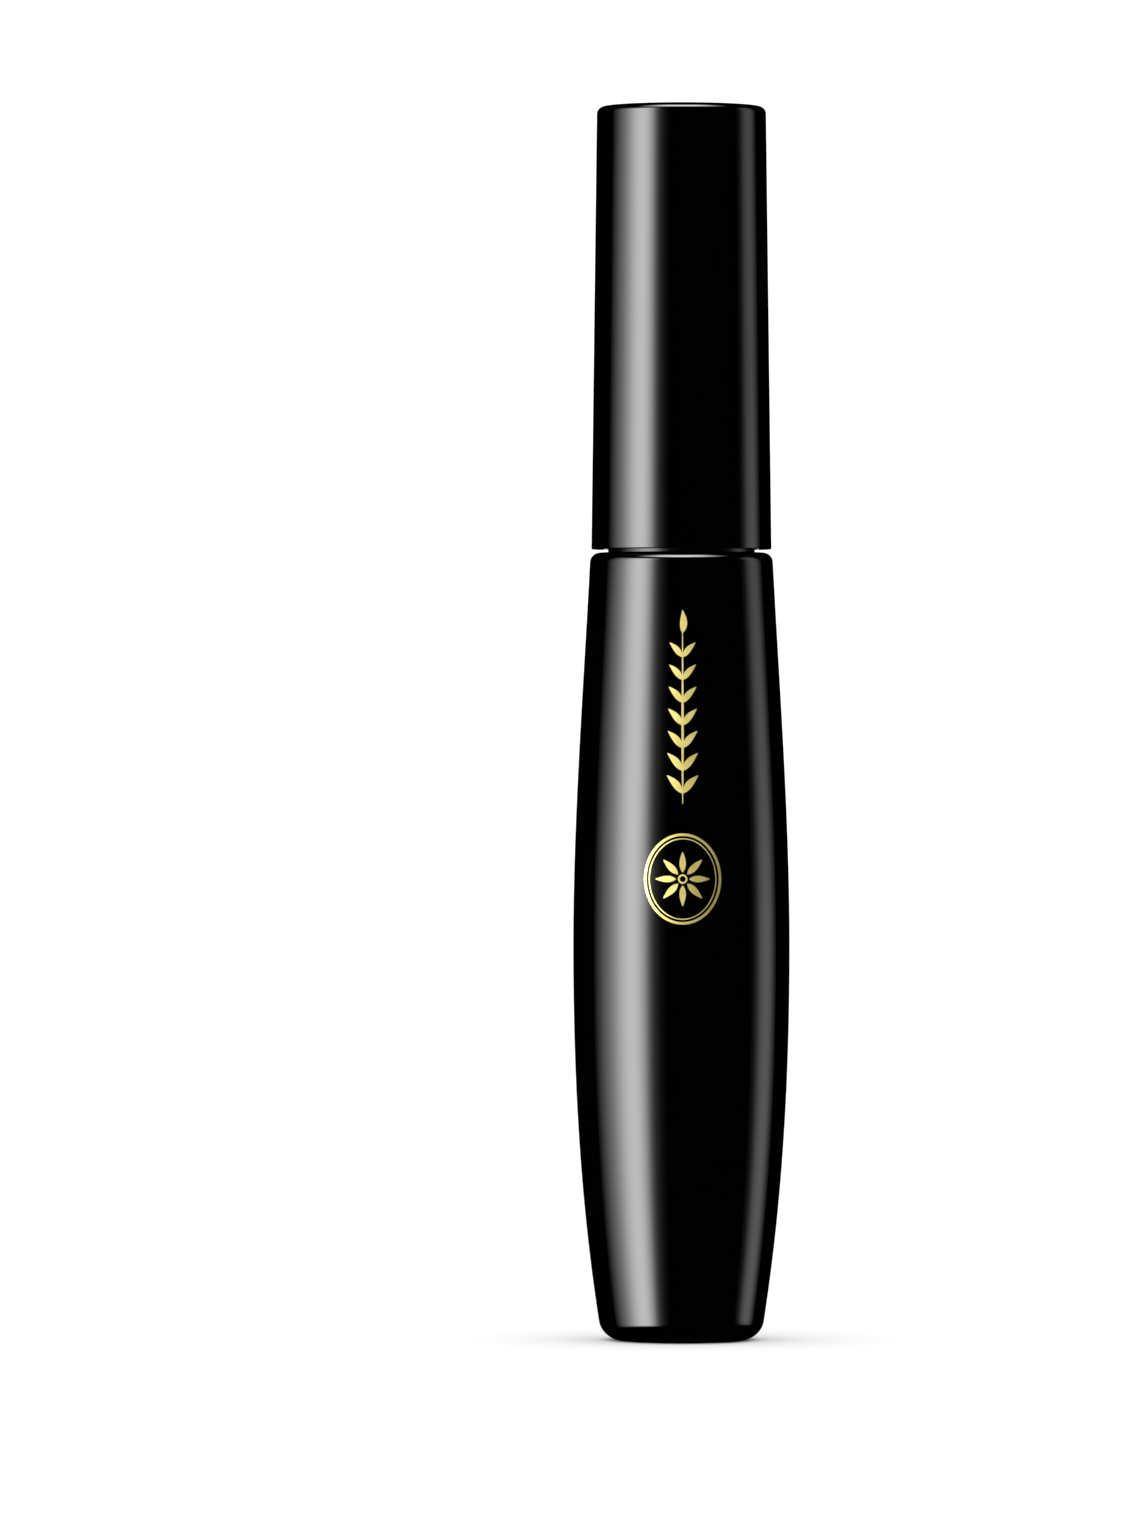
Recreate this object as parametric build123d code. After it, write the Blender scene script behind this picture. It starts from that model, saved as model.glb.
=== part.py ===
from build123d import *
import math
import os

# A mascara tube. The origin is the centre of the base, +Z points up through the cap.
# Everything is turned about the Z axis except the bowed brush. Millimetres.

# Outer bottle: a barrel whose wall swells from the foot to the belly and narrows to the shoulder.
BOTTLE_HEIGHT = 74.06
BELLY_DIAMETER = 20.37
BELLY_HEIGHT = 37.1
SHOULDER_DIAMETER = 17.12
SHOULDER_LEAN = 0.051
SHOULDER_RADIUS = 0.95
FOOT_DIAMETER = 14.95
FOOT_LEAN = 0.167
FOOT_RADIUS = 2.1
BOTTLE_FLOOR = 1.1
LABEL_DIAMETER = 9.0
LABEL_THICKNESS = 0.1
LABEL_RECESS = 0.25

# Inner vial, with its collar and threaded neck.
VIAL_DIAMETER = 12.8
VIAL_WALL = 1.0
VIAL_FLOOR = 0.9
VIAL_FOOT_RADIUS = 0.8
VIAL_THROAT = 3.0
COLLAR_DIAMETER = 13.8
COLLAR_HEIGHT = 1.9
NECK_DIAMETER = 9.8
NECK_WALL = 1.0
NECK_HEIGHT = 13.5
THREAD_PITCH = 3.0
THREAD_TURNS = 1.5
THREAD_DEPTH = 0.55
THREAD_FOOT = 1.3
THREAD_CREST = 0.5
THREAD_START = 1.2
THREAD_SUNK = 0.2

# Wiper: flange on the neck's rim, tube in the neck, cone down to the lip.
WIPER_FLANGE = 0.6
WIPER_WALL = 0.6
WIPER_TUBE = 6.5
WIPER_CONE = 3.5
WIPER_LIP = 0.8
WIPER_LIP_WALL = 0.3

# Cap, in two pieces.
CAP_HEIGHT = 41.64
CAP_RIM_DIAMETER = 16.94
CAP_TOP_DIAMETER = 15.9
CAP_EDGE_RADIUS = 0.7
CAP_RIM_EDGE = 0.12
CAP_ROOF = 1.6
CAP_GAP = 0.3
CAP_MOUTH_WALL = 1.2
LINER_DIAMETER = 14.1
LINER_WALL = 0.9
LINER_WEB = 1.4
SHELL_STEP = 0.45
SOCKET_WALL = 1.2

# Seal, wand and brush.
GASKET_THICKNESS = 0.8
STEM_DIAMETER = 4.2
STEM_END_RADIUS = 1.2
STEM_HEAD_DIAMETER = 5.8
STEM_HEAD_HEIGHT = 1.2
STEM_SOCKET_DEPTH = 7.0
WIRE_DIAMETER = 1.2
WIRE_GRIP = 7.0
WIRE_TIP_RADIUS = 0.54
BARE_WIRE = 0.7
BRUSH_LENGTH = 29.5
BRUSH_TIP_CLEARANCE = 1.0
BEND_PLACE = 1.8
BOW_PLACE = 15.2
BOW = 1.75
TIP_BOW = 0.25
BOW_RADIUS = 41.0
ROOT_BEND_RADIUS = 30.0
TUFT_ROWS = 22
MIDDLE_SHARE = 0.5
TUFT_THICKNESS = 0.5
TUFT_BITE = 0.05

# Filling, measured up from the stem's end. The wall of its well has a corner at every fourth tuft.
PASTE_OVER_STEM = 11.3
WELL_STEP = 4

# Clearances, each on the radius unless it says otherwise.
SLIP = 0.02
TURNING = 0.08
THREAD_CLEARANCE = 0.08
COLLAR_CLEARANCE = 0.3
PASTE_CLEARANCE = 0.25
LIP_CLEARANCE = 0.1
SEAL_GAP = 0.05
TIP_TUFT_CLEARANCE = 3.05
MIDDLE_TUFT_CLEARANCE = 0.75
ROOT_TUFT_CLEARANCE = 2.0

# Edges and radii closer than this are the same.
SAME = 0.001

# Heights that follow from those.
cap_rim_z = BOTTLE_HEIGHT + CAP_GAP
cap_top_z = cap_rim_z + CAP_HEIGHT
vial_base_z = BOTTLE_FLOOR + LABEL_RECESS
vial_floor_z = vial_base_z + VIAL_FLOOR
collar_top_z = BOTTLE_HEIGHT + COLLAR_HEIGHT
skirt_base_z = collar_top_z + COLLAR_CLEARANCE
ridge_start_z = collar_top_z + THREAD_START + THREAD_FOOT / 2
neck_top_z = BOTTLE_HEIGHT + NECK_HEIGHT
wiper_top_z = neck_top_z + WIPER_FLANGE
gasket_base_z = wiper_top_z + SEAL_GAP
web_base_z = gasket_base_z + GASKET_THICKNESS + SEAL_GAP
web_top_z = web_base_z + LINER_WEB
socket_top_z = web_top_z + STEM_SOCKET_DEPTH
brush_tip_z = vial_floor_z + BRUSH_TIP_CLEARANCE
stem_tip_z = brush_tip_z + BRUSH_LENGTH
paste_top_z = stem_tip_z + PASTE_OVER_STEM

# Radii that follow from those.
vial_bore = VIAL_DIAMETER / 2 - VIAL_WALL
neck_radius = NECK_DIAMETER / 2
neck_bore = neck_radius - NECK_WALL
neck_crest = neck_radius + THREAD_DEPTH
liner_crest = neck_crest + THREAD_CLEARANCE
liner_root = LINER_DIAMETER / 2 - LINER_WALL
shell_bore = LINER_DIAMETER / 2 + SLIP
stem_radius = STEM_DIAMETER / 2
wire_radius = WIRE_DIAMETER / 2
tip_tuft_radius = vial_bore - TIP_BOW - TIP_TUFT_CLEARANCE
middle_tuft_radius = vial_bore - BOW - MIDDLE_TUFT_CLEARANCE
root_tuft_radius = vial_bore - ROOT_TUFT_CLEARANCE


def turned(outline):
    """A solid turned about the Z axis from a closed outline drawn in the XZ plane."""
    return revolve(make_face(outline), Axis.Z)


def ring(outer, inner, low, high):
    """A plain tube between two heights."""
    tall = high - low
    body = Pos(0, 0, low) * Cylinder(outer, tall, align=(Align.CENTER, Align.CENTER, Align.MIN))
    if inner > 0:
        body -= Pos(0, 0, low) * Cylinder(inner, tall, align=(Align.CENTER, Align.CENTER, Align.MIN))
    return body


def ring_edges(solid, height, radius):
    """The round edges at one height and radius."""
    found = solid.edges().filter_by(GeomType.CIRCLE)
    found = found.filter_by(lambda e: abs(e.center().Z - height) < SAME)
    return found.filter_by(lambda e: abs(e.radius - radius) < SAME)


def thread(root, crest, start, length):
    """A right-hand screw ridge whose foot is sunk a little into the wall at radius root."""
    sunk = root - math.copysign(THREAD_SUNK, crest - root)
    helix = Helix(THREAD_PITCH, length, root, center=(0, 0, start))
    outline = Polyline(
        (sunk, 0, -THREAD_FOOT / 2),
        (root, 0, -THREAD_FOOT / 2),
        (crest, 0, -THREAD_CREST / 2),
        (crest, 0, THREAD_CREST / 2),
        (root, 0, THREAD_FOOT / 2),
        (sunk, 0, THREAD_FOOT / 2),
        close=True,
    )
    section = Pos(0, 0, start) * make_face(outline)
    return sweep(section, path=helix, binormal=Edge.make_line((0, 0, 0), (0, 0, length)))


def outer_bottle():
    """The barrel, with a straight bore for the vial and a shallow recess for the label."""
    belly = (BELLY_DIAMETER / 2, 0, BELLY_HEIGHT)
    foot = (FOOT_DIAMETER / 2, 0, 0)
    shoulder = (SHOULDER_DIAMETER / 2, 0, BOTTLE_HEIGHT)
    low_third = BELLY_HEIGHT / 3
    high_third = (BOTTLE_HEIGHT - BELLY_HEIGHT) / 3
    lower_wall = Bezier(
        foot,
        (FOOT_DIAMETER / 2 + FOOT_LEAN * low_third, 0, low_third),
        (BELLY_DIAMETER / 2, 0, BELLY_HEIGHT - low_third),
        belly,
    )
    upper_wall = Bezier(
        belly,
        (BELLY_DIAMETER / 2, 0, BELLY_HEIGHT + high_third),
        (SHOULDER_DIAMETER / 2 + SHOULDER_LEAN * high_third, 0, BOTTLE_HEIGHT - high_third),
        shoulder,
    )
    rest = Polyline(shoulder, (0, 0, BOTTLE_HEIGHT), (0, 0, 0), foot)
    barrel = turned(lower_wall + upper_wall + rest)
    barrel = fillet(ring_edges(barrel, BOTTLE_HEIGHT, SHOULDER_DIAMETER / 2), SHOULDER_RADIUS)
    barrel = fillet(ring_edges(barrel, 0, FOOT_DIAMETER / 2), FOOT_RADIUS)
    barrel -= ring(VIAL_DIAMETER / 2 + SLIP, 0, vial_base_z, BOTTLE_HEIGHT)
    barrel -= ring(LABEL_DIAMETER / 2 + SLIP, 0, 0, LABEL_RECESS)
    return barrel


def shade_label():
    """Blank round label on the roof of the base recess."""
    return ring(LABEL_DIAMETER / 2, 0, LABEL_RECESS - LABEL_THICKNESS, LABEL_RECESS)


def inner_vial():
    """Vial body, collar, neck and screw thread in one moulding, hollow right through its mouth."""
    vial = ring(VIAL_DIAMETER / 2, 0, vial_base_z, BOTTLE_HEIGHT)
    vial = fillet(ring_edges(vial, vial_base_z, VIAL_DIAMETER / 2), VIAL_FOOT_RADIUS)
    vial += ring(COLLAR_DIAMETER / 2, 0, BOTTLE_HEIGHT, collar_top_z)
    vial += ring(neck_radius, 0, collar_top_z, neck_top_z)
    vial += thread(neck_radius, neck_crest, ridge_start_z, THREAD_PITCH * THREAD_TURNS)
    throat_base_z = BOTTLE_HEIGHT - VIAL_THROAT
    hollow = Polyline(
        (0, 0, vial_floor_z),
        (vial_bore, 0, vial_floor_z),
        (vial_bore, 0, throat_base_z),
        (neck_bore, 0, BOTTLE_HEIGHT),
        (neck_bore, 0, neck_top_z),
        (0, 0, neck_top_z),
        close=True,
    )
    return vial - turned(hollow)


def wiper():
    """Soft wiper: flange, tube and cone in one turned outline, down to a thin straight lip."""
    outer = neck_bore - SLIP
    lip = stem_radius + LIP_CLEARANCE
    tube_base_z = neck_top_z - WIPER_TUBE
    cone_base_z = tube_base_z - WIPER_CONE
    lip_base_z = cone_base_z - WIPER_LIP
    outline = Polyline(
        (outer - WIPER_WALL, 0, wiper_top_z),
        (neck_radius, 0, wiper_top_z),
        (neck_radius, 0, neck_top_z),
        (outer, 0, neck_top_z),
        (outer, 0, tube_base_z),
        (lip + WIPER_LIP_WALL, 0, cone_base_z),
        (lip + WIPER_LIP_WALL, 0, lip_base_z),
        (lip, 0, lip_base_z),
        (lip, 0, cone_base_z),
        (outer - WIPER_WALL, 0, tube_base_z),
        close=True,
    )
    return turned(outline)


def brush_path():
    """Centre line of the wire: straight in the stem, then out to the bow and back towards the axis."""
    root_z = stem_tip_z + WIRE_GRIP
    return FilletPolyline(
        (0, 0, root_z),
        (0, 0, stem_tip_z - BEND_PLACE),
        (-BOW, 0, stem_tip_z - BOW_PLACE),
        (-TIP_BOW, 0, brush_tip_z),
        radius=[ROOT_BEND_RADIUS, BOW_RADIUS],
    )


def brush_wire():
    """Wire core with a domed tip."""
    path = brush_path()
    core = sweep(Pos(0, 0, stem_tip_z + WIRE_GRIP) * Circle(wire_radius), path=path)
    end = core.faces().sort_by(Axis.Z)[0]
    edge = end.edges().filter_by(GeomType.CIRCLE)
    return fillet(edge, WIRE_TIP_RADIUS)


def tuft_radius(share):
    """Brush radius from the stem end, share 0, to the tip, share 1."""
    if share < MIDDLE_SHARE:
        past = share / MIDDLE_SHARE
        return root_tuft_radius + (middle_tuft_radius - root_tuft_radius) * past
    past = (share - MIDDLE_SHARE) / (1 - MIDDLE_SHARE)
    return middle_tuft_radius + (tip_tuft_radius - middle_tuft_radius) * past


def tuft_places():
    """Share of the brush and place on the wire for each row of tufts."""
    path = brush_path()
    length = path.length
    first = WIRE_GRIP + BARE_WIRE + TUFT_THICKNESS / 2
    last = length - wire_radius - TUFT_THICKNESS / 2
    places = []
    for row in range(TUFT_ROWS):
        share = row / (TUFT_ROWS - 1)
        along = (first + (last - first) * share) / length
        places.append((share, path @ along, path % along))
    return places


def bristles():
    """Plain discs of tufts, one for each row, square to the wire."""
    rows = []
    for share, place, direction in tuft_places():
        disc = Plane(place, z_dir=direction) * Cylinder(tuft_radius(share), TUFT_THICKNESS)
        disc -= Plane(place, z_dir=direction) * Cylinder(wire_radius - TUFT_BITE, 2 * TUFT_THICKNESS)
        rows.append(disc.solid())
    return Compound(children=rows)


def mascara_paste():
    """The filling, with a turned well round the space that the brush sweeps as it turns."""
    base_z = brush_tip_z - PASTE_CLEARANCE
    rows = tuft_places()
    well = [(0, 0, base_z)]
    well.append((tip_tuft_radius + TIP_BOW + PASTE_CLEARANCE, 0, base_z))
    for share, place, direction in rows[-WELL_STEP:0:-WELL_STEP]:
        reach = math.hypot(place.X, place.Y) + tuft_radius(share)
        well.append((reach + PASTE_CLEARANCE, 0, place.Z))
    root_z = rows[0][1].Z + TUFT_THICKNESS / 2 + PASTE_CLEARANCE
    well.append((root_tuft_radius + PASTE_CLEARANCE, 0, root_z))
    well.append((stem_radius + PASTE_CLEARANCE, 0, root_z + PASTE_CLEARANCE))
    well.append((stem_radius + PASTE_CLEARANCE, 0, paste_top_z))
    well.append((0, 0, paste_top_z))
    paste = ring(vial_bore - SLIP, 0, vial_floor_z, paste_top_z)
    return paste - turned(Polyline(*well, close=True))


def seal_gasket():
    """Flat washer round the stem, between the wiper's flange and the cap's web."""
    return ring(neck_radius, stem_radius + TURNING, gasket_base_z, gasket_base_z + GASKET_THICKNESS)


def cap_shell():
    """Outer cap: a tapered cup with a wide mouth, a bore for the liner and a step that stops it."""
    slope = (CAP_RIM_DIAMETER - CAP_TOP_DIAMETER) / 2 / CAP_HEIGHT
    outline = Polyline(
        (0, 0, cap_rim_z),
        (CAP_RIM_DIAMETER / 2, 0, cap_rim_z),
        (CAP_TOP_DIAMETER / 2, 0, cap_top_z),
        (0, 0, cap_top_z),
        close=True,
    )
    shell = turned(outline)
    shell = fillet(ring_edges(shell, cap_top_z, CAP_TOP_DIAMETER / 2), CAP_EDGE_RADIUS)
    mouth = CAP_RIM_DIAMETER / 2 - CAP_MOUTH_WALL
    roof_z = cap_top_z - CAP_ROOF
    shell -= ring(mouth, 0, cap_rim_z, skirt_base_z)
    shell -= ring(shell_bore, 0, skirt_base_z, web_top_z)
    shell -= ring(shell_bore - SHELL_STEP, 0, web_top_z, roof_z)
    rim = ring_edges(shell, cap_rim_z, CAP_RIM_DIAMETER / 2)
    return fillet(rim, CAP_RIM_EDGE)


def cap_liner():
    """Inner cap: threaded skirt, web over the neck and a socket above it that grips the stem."""
    liner = ring(LINER_DIAMETER / 2, 0, skirt_base_z, web_top_z)
    liner -= ring(liner_root, 0, skirt_base_z, web_base_z)
    between_z = ridge_start_z + THREAD_PITCH / 2
    liner += thread(liner_root, liner_crest, between_z, THREAD_PITCH * THREAD_TURNS)
    socket_bore = stem_radius + SLIP
    liner += ring(socket_bore + SOCKET_WALL, 0, web_top_z, socket_top_z)
    liner -= ring(socket_bore, 0, web_base_z, socket_top_z)
    return liner


def stem():
    """Wand: a straight rod with a head on the socket, a rounded end and a hole for the wire."""
    rod = ring(stem_radius, 0, stem_tip_z, socket_top_z)
    rod = fillet(ring_edges(rod, stem_tip_z, stem_radius), STEM_END_RADIUS)
    rod += ring(STEM_HEAD_DIAMETER / 2, 0, socket_top_z, socket_top_z + STEM_HEAD_HEIGHT)
    return rod - ring(wire_radius + SLIP, 0, stem_tip_z, stem_tip_z + WIRE_GRIP)


PARTS = {
    "outer_bottle": outer_bottle,
    "shade_label": shade_label,
    "inner_vial": inner_vial,
    "wiper": wiper,
    "mascara_paste": mascara_paste,
    "seal_gasket": seal_gasket,
    "cap_shell": cap_shell,
    "cap_liner": cap_liner,
    "stem": stem,
    "brush_wire": brush_wire,
    "bristles": bristles,
}

os.makedirs("parts", exist_ok=True)
for node, make in PARTS.items():
    export_step(make(), f"parts/{node}.step")
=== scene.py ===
# %% [markdown]
# # A mascara tube, one piece at a time
# The tube is a barrel-shaped glossy black bottle under a glossy black screw cap. Inside are a vial, a soft
# wiper, the mascara itself and a wand with a bowed brush of twisted wire and nylon fibres.
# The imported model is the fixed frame: it says where each piece goes and what moves together. Every piece
# here is made in its place in that frame, and takes its size from it.

# %% Load the frame
import math
import random

import bmesh
import bpy
from mathutils import Matrix, Vector


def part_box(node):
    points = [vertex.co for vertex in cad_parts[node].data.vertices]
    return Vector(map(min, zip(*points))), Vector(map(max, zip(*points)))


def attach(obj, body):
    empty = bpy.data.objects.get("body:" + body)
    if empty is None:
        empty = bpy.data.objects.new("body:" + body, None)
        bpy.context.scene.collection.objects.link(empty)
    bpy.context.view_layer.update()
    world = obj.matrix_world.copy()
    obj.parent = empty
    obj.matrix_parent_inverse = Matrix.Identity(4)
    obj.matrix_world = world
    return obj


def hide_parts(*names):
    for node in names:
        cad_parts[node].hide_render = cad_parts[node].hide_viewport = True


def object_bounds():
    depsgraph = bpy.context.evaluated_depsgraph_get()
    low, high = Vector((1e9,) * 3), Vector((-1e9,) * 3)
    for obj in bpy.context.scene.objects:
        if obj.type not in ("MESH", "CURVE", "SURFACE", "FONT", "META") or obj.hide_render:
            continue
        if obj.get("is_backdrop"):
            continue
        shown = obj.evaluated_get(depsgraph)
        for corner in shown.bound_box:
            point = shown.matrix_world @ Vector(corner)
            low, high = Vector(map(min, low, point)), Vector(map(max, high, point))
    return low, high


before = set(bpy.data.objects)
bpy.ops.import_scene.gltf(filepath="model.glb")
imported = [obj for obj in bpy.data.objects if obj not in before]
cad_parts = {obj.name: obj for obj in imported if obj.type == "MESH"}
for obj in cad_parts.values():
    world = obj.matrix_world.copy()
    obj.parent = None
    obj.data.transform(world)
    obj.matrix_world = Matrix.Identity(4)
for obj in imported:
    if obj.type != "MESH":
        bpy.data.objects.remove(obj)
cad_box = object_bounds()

MM = 0.001
print("height in mm", round(cad_box[1].z / MM, 2))

# %% [markdown]
# ## Reading sizes from the frame
# Blender works in metres and the tube is described in millimetres, so one small function reads the widest
# radius and the two ends of a node, in millimetres. Pieces that fit each other then share the same numbers.


# %% Sizes read from the frame
def measure(node):
    """Largest radius, lowest height and highest height of a node, in millimetres."""
    low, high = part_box(node)
    return high.x / MM, low.z / MM, high.z / MM


belly_radius, _, shoulder_z = measure("outer_bottle")
collar_radius, vial_base_z, neck_top_z = measure("inner_vial")
_, rim_z, cap_top_z = measure("cap_shell")
liner_radius, skirt_base_z, socket_top_z = measure("cap_liner")
neck_radius, wiper_lip_z, wiper_top_z = measure("wiper")
gasket_radius, gasket_base_z, gasket_top_z = measure("seal_gasket")
paste_radius, vial_floor_z, paste_top_z = measure("mascara_paste")
stem_head_radius, stem_tip_z, stem_top_z = measure("stem")
wire_radius, brush_tip_z, wire_root_z = measure("brush_wire")
print("belly", round(belly_radius, 2), "shoulder", round(shoulder_z, 2), "cap", round(rim_z, 2),
      "to", round(cap_top_z, 2))

# %% [markdown]
# ## Small tools for modelling
# Most of these pieces are turned, as on a lathe. Such a piece starts as an outline of half its section,
# drawn by extruding one vertex from point to point, and the spin tool turns the outline about the Z axis.
# Corners are then rounded with the bevel tool. Points are written as (radius, height) in millimetres.

# %% Draw an outline by extruding one vertex
SAME_PLACE = 0.002 * MM


def only(piece):
    """Deselects everything and selects one piece."""
    bpy.ops.object.select_all(action="DESELECT")
    piece.select_set(True)
    bpy.context.view_layer.objects.active = piece


def extrude_through(points):
    """Extrudes the selected vertex, which is at the first point, through the other points."""
    for here, there in zip(points, points[1:]):
        step = ((there[0] - here[0]) * MM, 0, (there[1] - here[1]) * MM)
        bpy.ops.mesh.extrude_vertices_move(TRANSFORM_OT_translate={"value": step})


def draw(name, points):
    """A new object in edit mode, with an outline through the points."""
    bpy.ops.object.select_all(action="DESELECT")
    bpy.ops.mesh.primitive_plane_add(size=MM, location=(0, 0, 0))
    piece = bpy.context.object
    piece.name = name
    piece.data.name = name
    bpy.ops.object.mode_set(mode="EDIT")
    bpy.ops.mesh.merge(type="CENTER")
    bpy.ops.transform.translate(value=(points[0][0] * MM, 0, points[0][1] * MM))
    extrude_through(points)
    return piece


# %% [markdown]
# Operators act on what is selected, so a piece's parts are picked by place: a test is given each corner's
# position, and the rings of a turned piece are found by their radius and height.

# %% Pick by place, spin and bevel
ROUND_STEPS = 128


def pick(piece, kind, test):
    """In edit mode, selects only the verts, edges or faces whose corners all pass the test."""
    bpy.ops.mesh.select_all(action="DESELECT")
    mesh = bmesh.from_edit_mesh(piece.data)
    for part in getattr(mesh, kind):
        corners = [part] if kind == "verts" else part.verts
        if all(test(corner.co) for corner in corners):
            part.select = True
    mesh.select_flush_mode()
    bmesh.update_edit_mesh(piece.data)


def at_ring(radius, height):
    """A test for places on the ring with that radius and height, in millimetres."""
    reach = 0.01 * MM

    def test(place):
        off_radius = abs(math.hypot(place.x, place.y) - radius * MM)
        return off_radius < reach and abs(place.z - height * MM) < reach

    return test


def spin_round(piece, steps=ROUND_STEPS):
    """Turns the outline about the Z axis, closes the seam and the poles and points the faces outwards."""
    bpy.ops.mesh.select_all(action="SELECT")
    bpy.ops.mesh.spin(steps=steps, angle=math.tau, center=(0, 0, 0), axis=(0, 0, 1))
    bpy.ops.mesh.select_all(action="SELECT")
    bpy.ops.mesh.remove_doubles(threshold=SAME_PLACE)
    bpy.ops.mesh.normals_make_consistent(inside=False)


def round_corner(piece, corner, radius, segments, corner_angle=90.0):
    """Bevels the ring at one corner of the outline to an arc of that radius, in millimetres."""
    bpy.ops.mesh.select_mode(type="EDGE")
    pick(piece, "edges", at_ring(*corner))
    width = radius / math.tan(math.radians(corner_angle / 2))
    bpy.ops.mesh.bevel(offset=width * MM, segments=segments, profile=0.5, clamp_overlap=False)
    bpy.ops.mesh.select_mode(type="VERT")


# %% [markdown]
# The last step is the same for every piece. A fine bevel modifier takes the knife edge off the corners that
# are left, because no moulded edge is perfectly sharp. Then the faces are shaded smooth up to a sharp angle,
# and the weighted normal modifier keeps flat faces flat beside a rounded edge.


# %% Finish a piece
def apply_modifier(piece, kind, **settings):
    """Adds a modifier with its settings and applies it."""
    only(piece)
    modifier = piece.modifiers.new(kind.title(), kind)
    for name, value in settings.items():
        setattr(modifier, name, value)
    bpy.ops.object.modifier_apply(modifier=modifier.name)


def count(piece):
    """Triangles in a piece."""
    return sum(len(face.vertices) - 2 for face in piece.data.polygons)


def finish_piece(piece, body, material, nodes=(), soften=0.0):
    """Softens the corners, shades the piece, gives it its finish and ties it to the frame."""
    bpy.ops.object.mode_set(mode="OBJECT")
    if soften:
        apply_modifier(piece, "BEVEL", width=soften * MM, segments=2, limit_method="ANGLE",
                       angle_limit=math.radians(40))
    only(piece)
    bpy.ops.object.shade_smooth_by_angle(angle=math.radians(35))
    apply_modifier(piece, "WEIGHTED_NORMAL", keep_sharp=True)
    piece.data.materials.clear()
    piece.data.materials.append(material)
    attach(piece, body)
    if nodes:
        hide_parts(*nodes)
    print(piece.name, count(piece), "triangles")


# %% [markdown]
# ## The camera
# A long lens from about a metre away, level with the middle of the tube, as for a catalogue. The camera
# stands a little to the left of the tube, so that the tube is right of the middle of the frame.

# %% Camera
CAMERA_DISTANCE = 991.0
CAMERA_SIDE = -11.33
CAMERA_HEIGHT = 58.0
CAMERA_DIP = 0.243
LENS = 246.9

camera_data = bpy.data.cameras.new("studio_camera")
camera_data.lens = LENS
camera_data.sensor_width = 36.0
camera_data.dof.use_dof = False
camera = bpy.data.objects.new("studio_camera", camera_data)
bpy.context.scene.collection.objects.link(camera)
camera.location = (CAMERA_SIDE * MM, -CAMERA_DISTANCE * MM, CAMERA_HEIGHT * MM)
camera.rotation_euler = (math.radians(90 - CAMERA_DIP), 0, 0)
bpy.context.scene.camera = camera
print("camera at", tuple(round(x, 4) for x in camera.location))

# %% [markdown]
# ## Nodes and colours
# A material is a small graph of nodes. One helper adds a node, sets it and links it, and one function turns
# the hex colours that people use into the linear values that the renderer adds up.


# %% Node and colour helpers
def to_linear(hex_colour):
    """The linear RGBA of an sRGB hex colour such as #C9A93A."""
    values = [int(hex_colour[i:i + 2], 16) / 255 for i in (1, 3, 5)]
    linear = [v / 12.92 if v <= 0.04045 else ((v + 0.055) / 1.055) ** 2.4 for v in values]
    return (*linear, 1.0)


def add_node(tree, kind, settings=None, inputs=None, outputs=None, stops=()):
    """Adds a node. An input takes a value or the output that feeds it, an output takes the socket that it
    feeds, and stops are the places and linear colours of a ramp."""
    node = tree.nodes.new(kind)
    for name, value in (settings or {}).items():
        setattr(node, name, value)
    for name, value in (inputs or {}).items():
        if isinstance(value, bpy.types.NodeSocket):
            tree.links.new(value, node.inputs[name])
        else:
            node.inputs[name].default_value = value
    for name, socket in (outputs or {}).items():
        tree.links.new(node.outputs[name], socket)
    if stops:
        elements = node.color_ramp.elements
        elements.remove(elements[1])
        elements[0].position, elements[0].color = stops[0]
        for position, colour in stops[1:]:
            elements.new(position).color = colour
    return node


# %% [markdown]
# ## The room
# Everything round the tube is white, so the floor and the world are white too. Black gloss is seen only by
# what it reflects: a white room would turn it grey, so the white world and the floor are hidden from
# reflections, and the gloss mirrors just a few soft lights, as if it stood in a dark tent.

# %% World and floor
WORLD_STRENGTH = 1.2
FLOOR_SIZE = 6.0

scene = bpy.context.scene
scene.view_settings.view_transform = "Standard"
world = bpy.data.worlds.new("white_surroundings")
scene.world = world
world.use_nodes = True
surroundings = world.node_tree.nodes["Background"]
surroundings.inputs["Color"].default_value = to_linear("#FFFFFF")
surroundings.inputs["Strength"].default_value = WORLD_STRENGTH
world.cycles_visibility.glossy = False

bpy.ops.object.select_all(action="DESELECT")
bpy.ops.mesh.primitive_plane_add(size=FLOOR_SIZE, location=(0, 0, 0))
floor = bpy.context.object
floor.name = "studio_floor"
floor.visible_glossy = False
paper = bpy.data.materials.new("matt_white_paper_sweep")
paper.use_nodes = True
paper_shader = paper.node_tree.nodes["Principled BSDF"]
paper_shader.inputs["Base Color"].default_value = to_linear("#FBFBFB")
paper_shader.inputs["Roughness"].default_value = 0.9
paper_shader.inputs["Specular IOR Level"].default_value = 0.0
floor.data.materials.append(paper)
floor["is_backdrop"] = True
print("floor", FLOOR_SIZE, "m across, world strength", WORLD_STRENGTH)

# %% [markdown]
# A light here is a card that glows more in its middle and fades towards its edges, which gives reflections
# the soft edges of a real softbox. Two lists describe the glow, across the card and up it, as pairs of
# (place, share of the glow). Only reflections see a card: it lights nothing else and casts no shadow.


# %% The glow of a light card
def blend_between(low, high, share):
    """The value at a share of the way from low to high."""
    return low + (high - low) * share


def fade_stops(glow):
    """Ramp stops for pairs of place and share of the glow."""
    first, last = glow[0][0], glow[-1][0]
    return [((place - first) / (last - first), (share, share, share, 1)) for place, share in glow]


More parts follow.
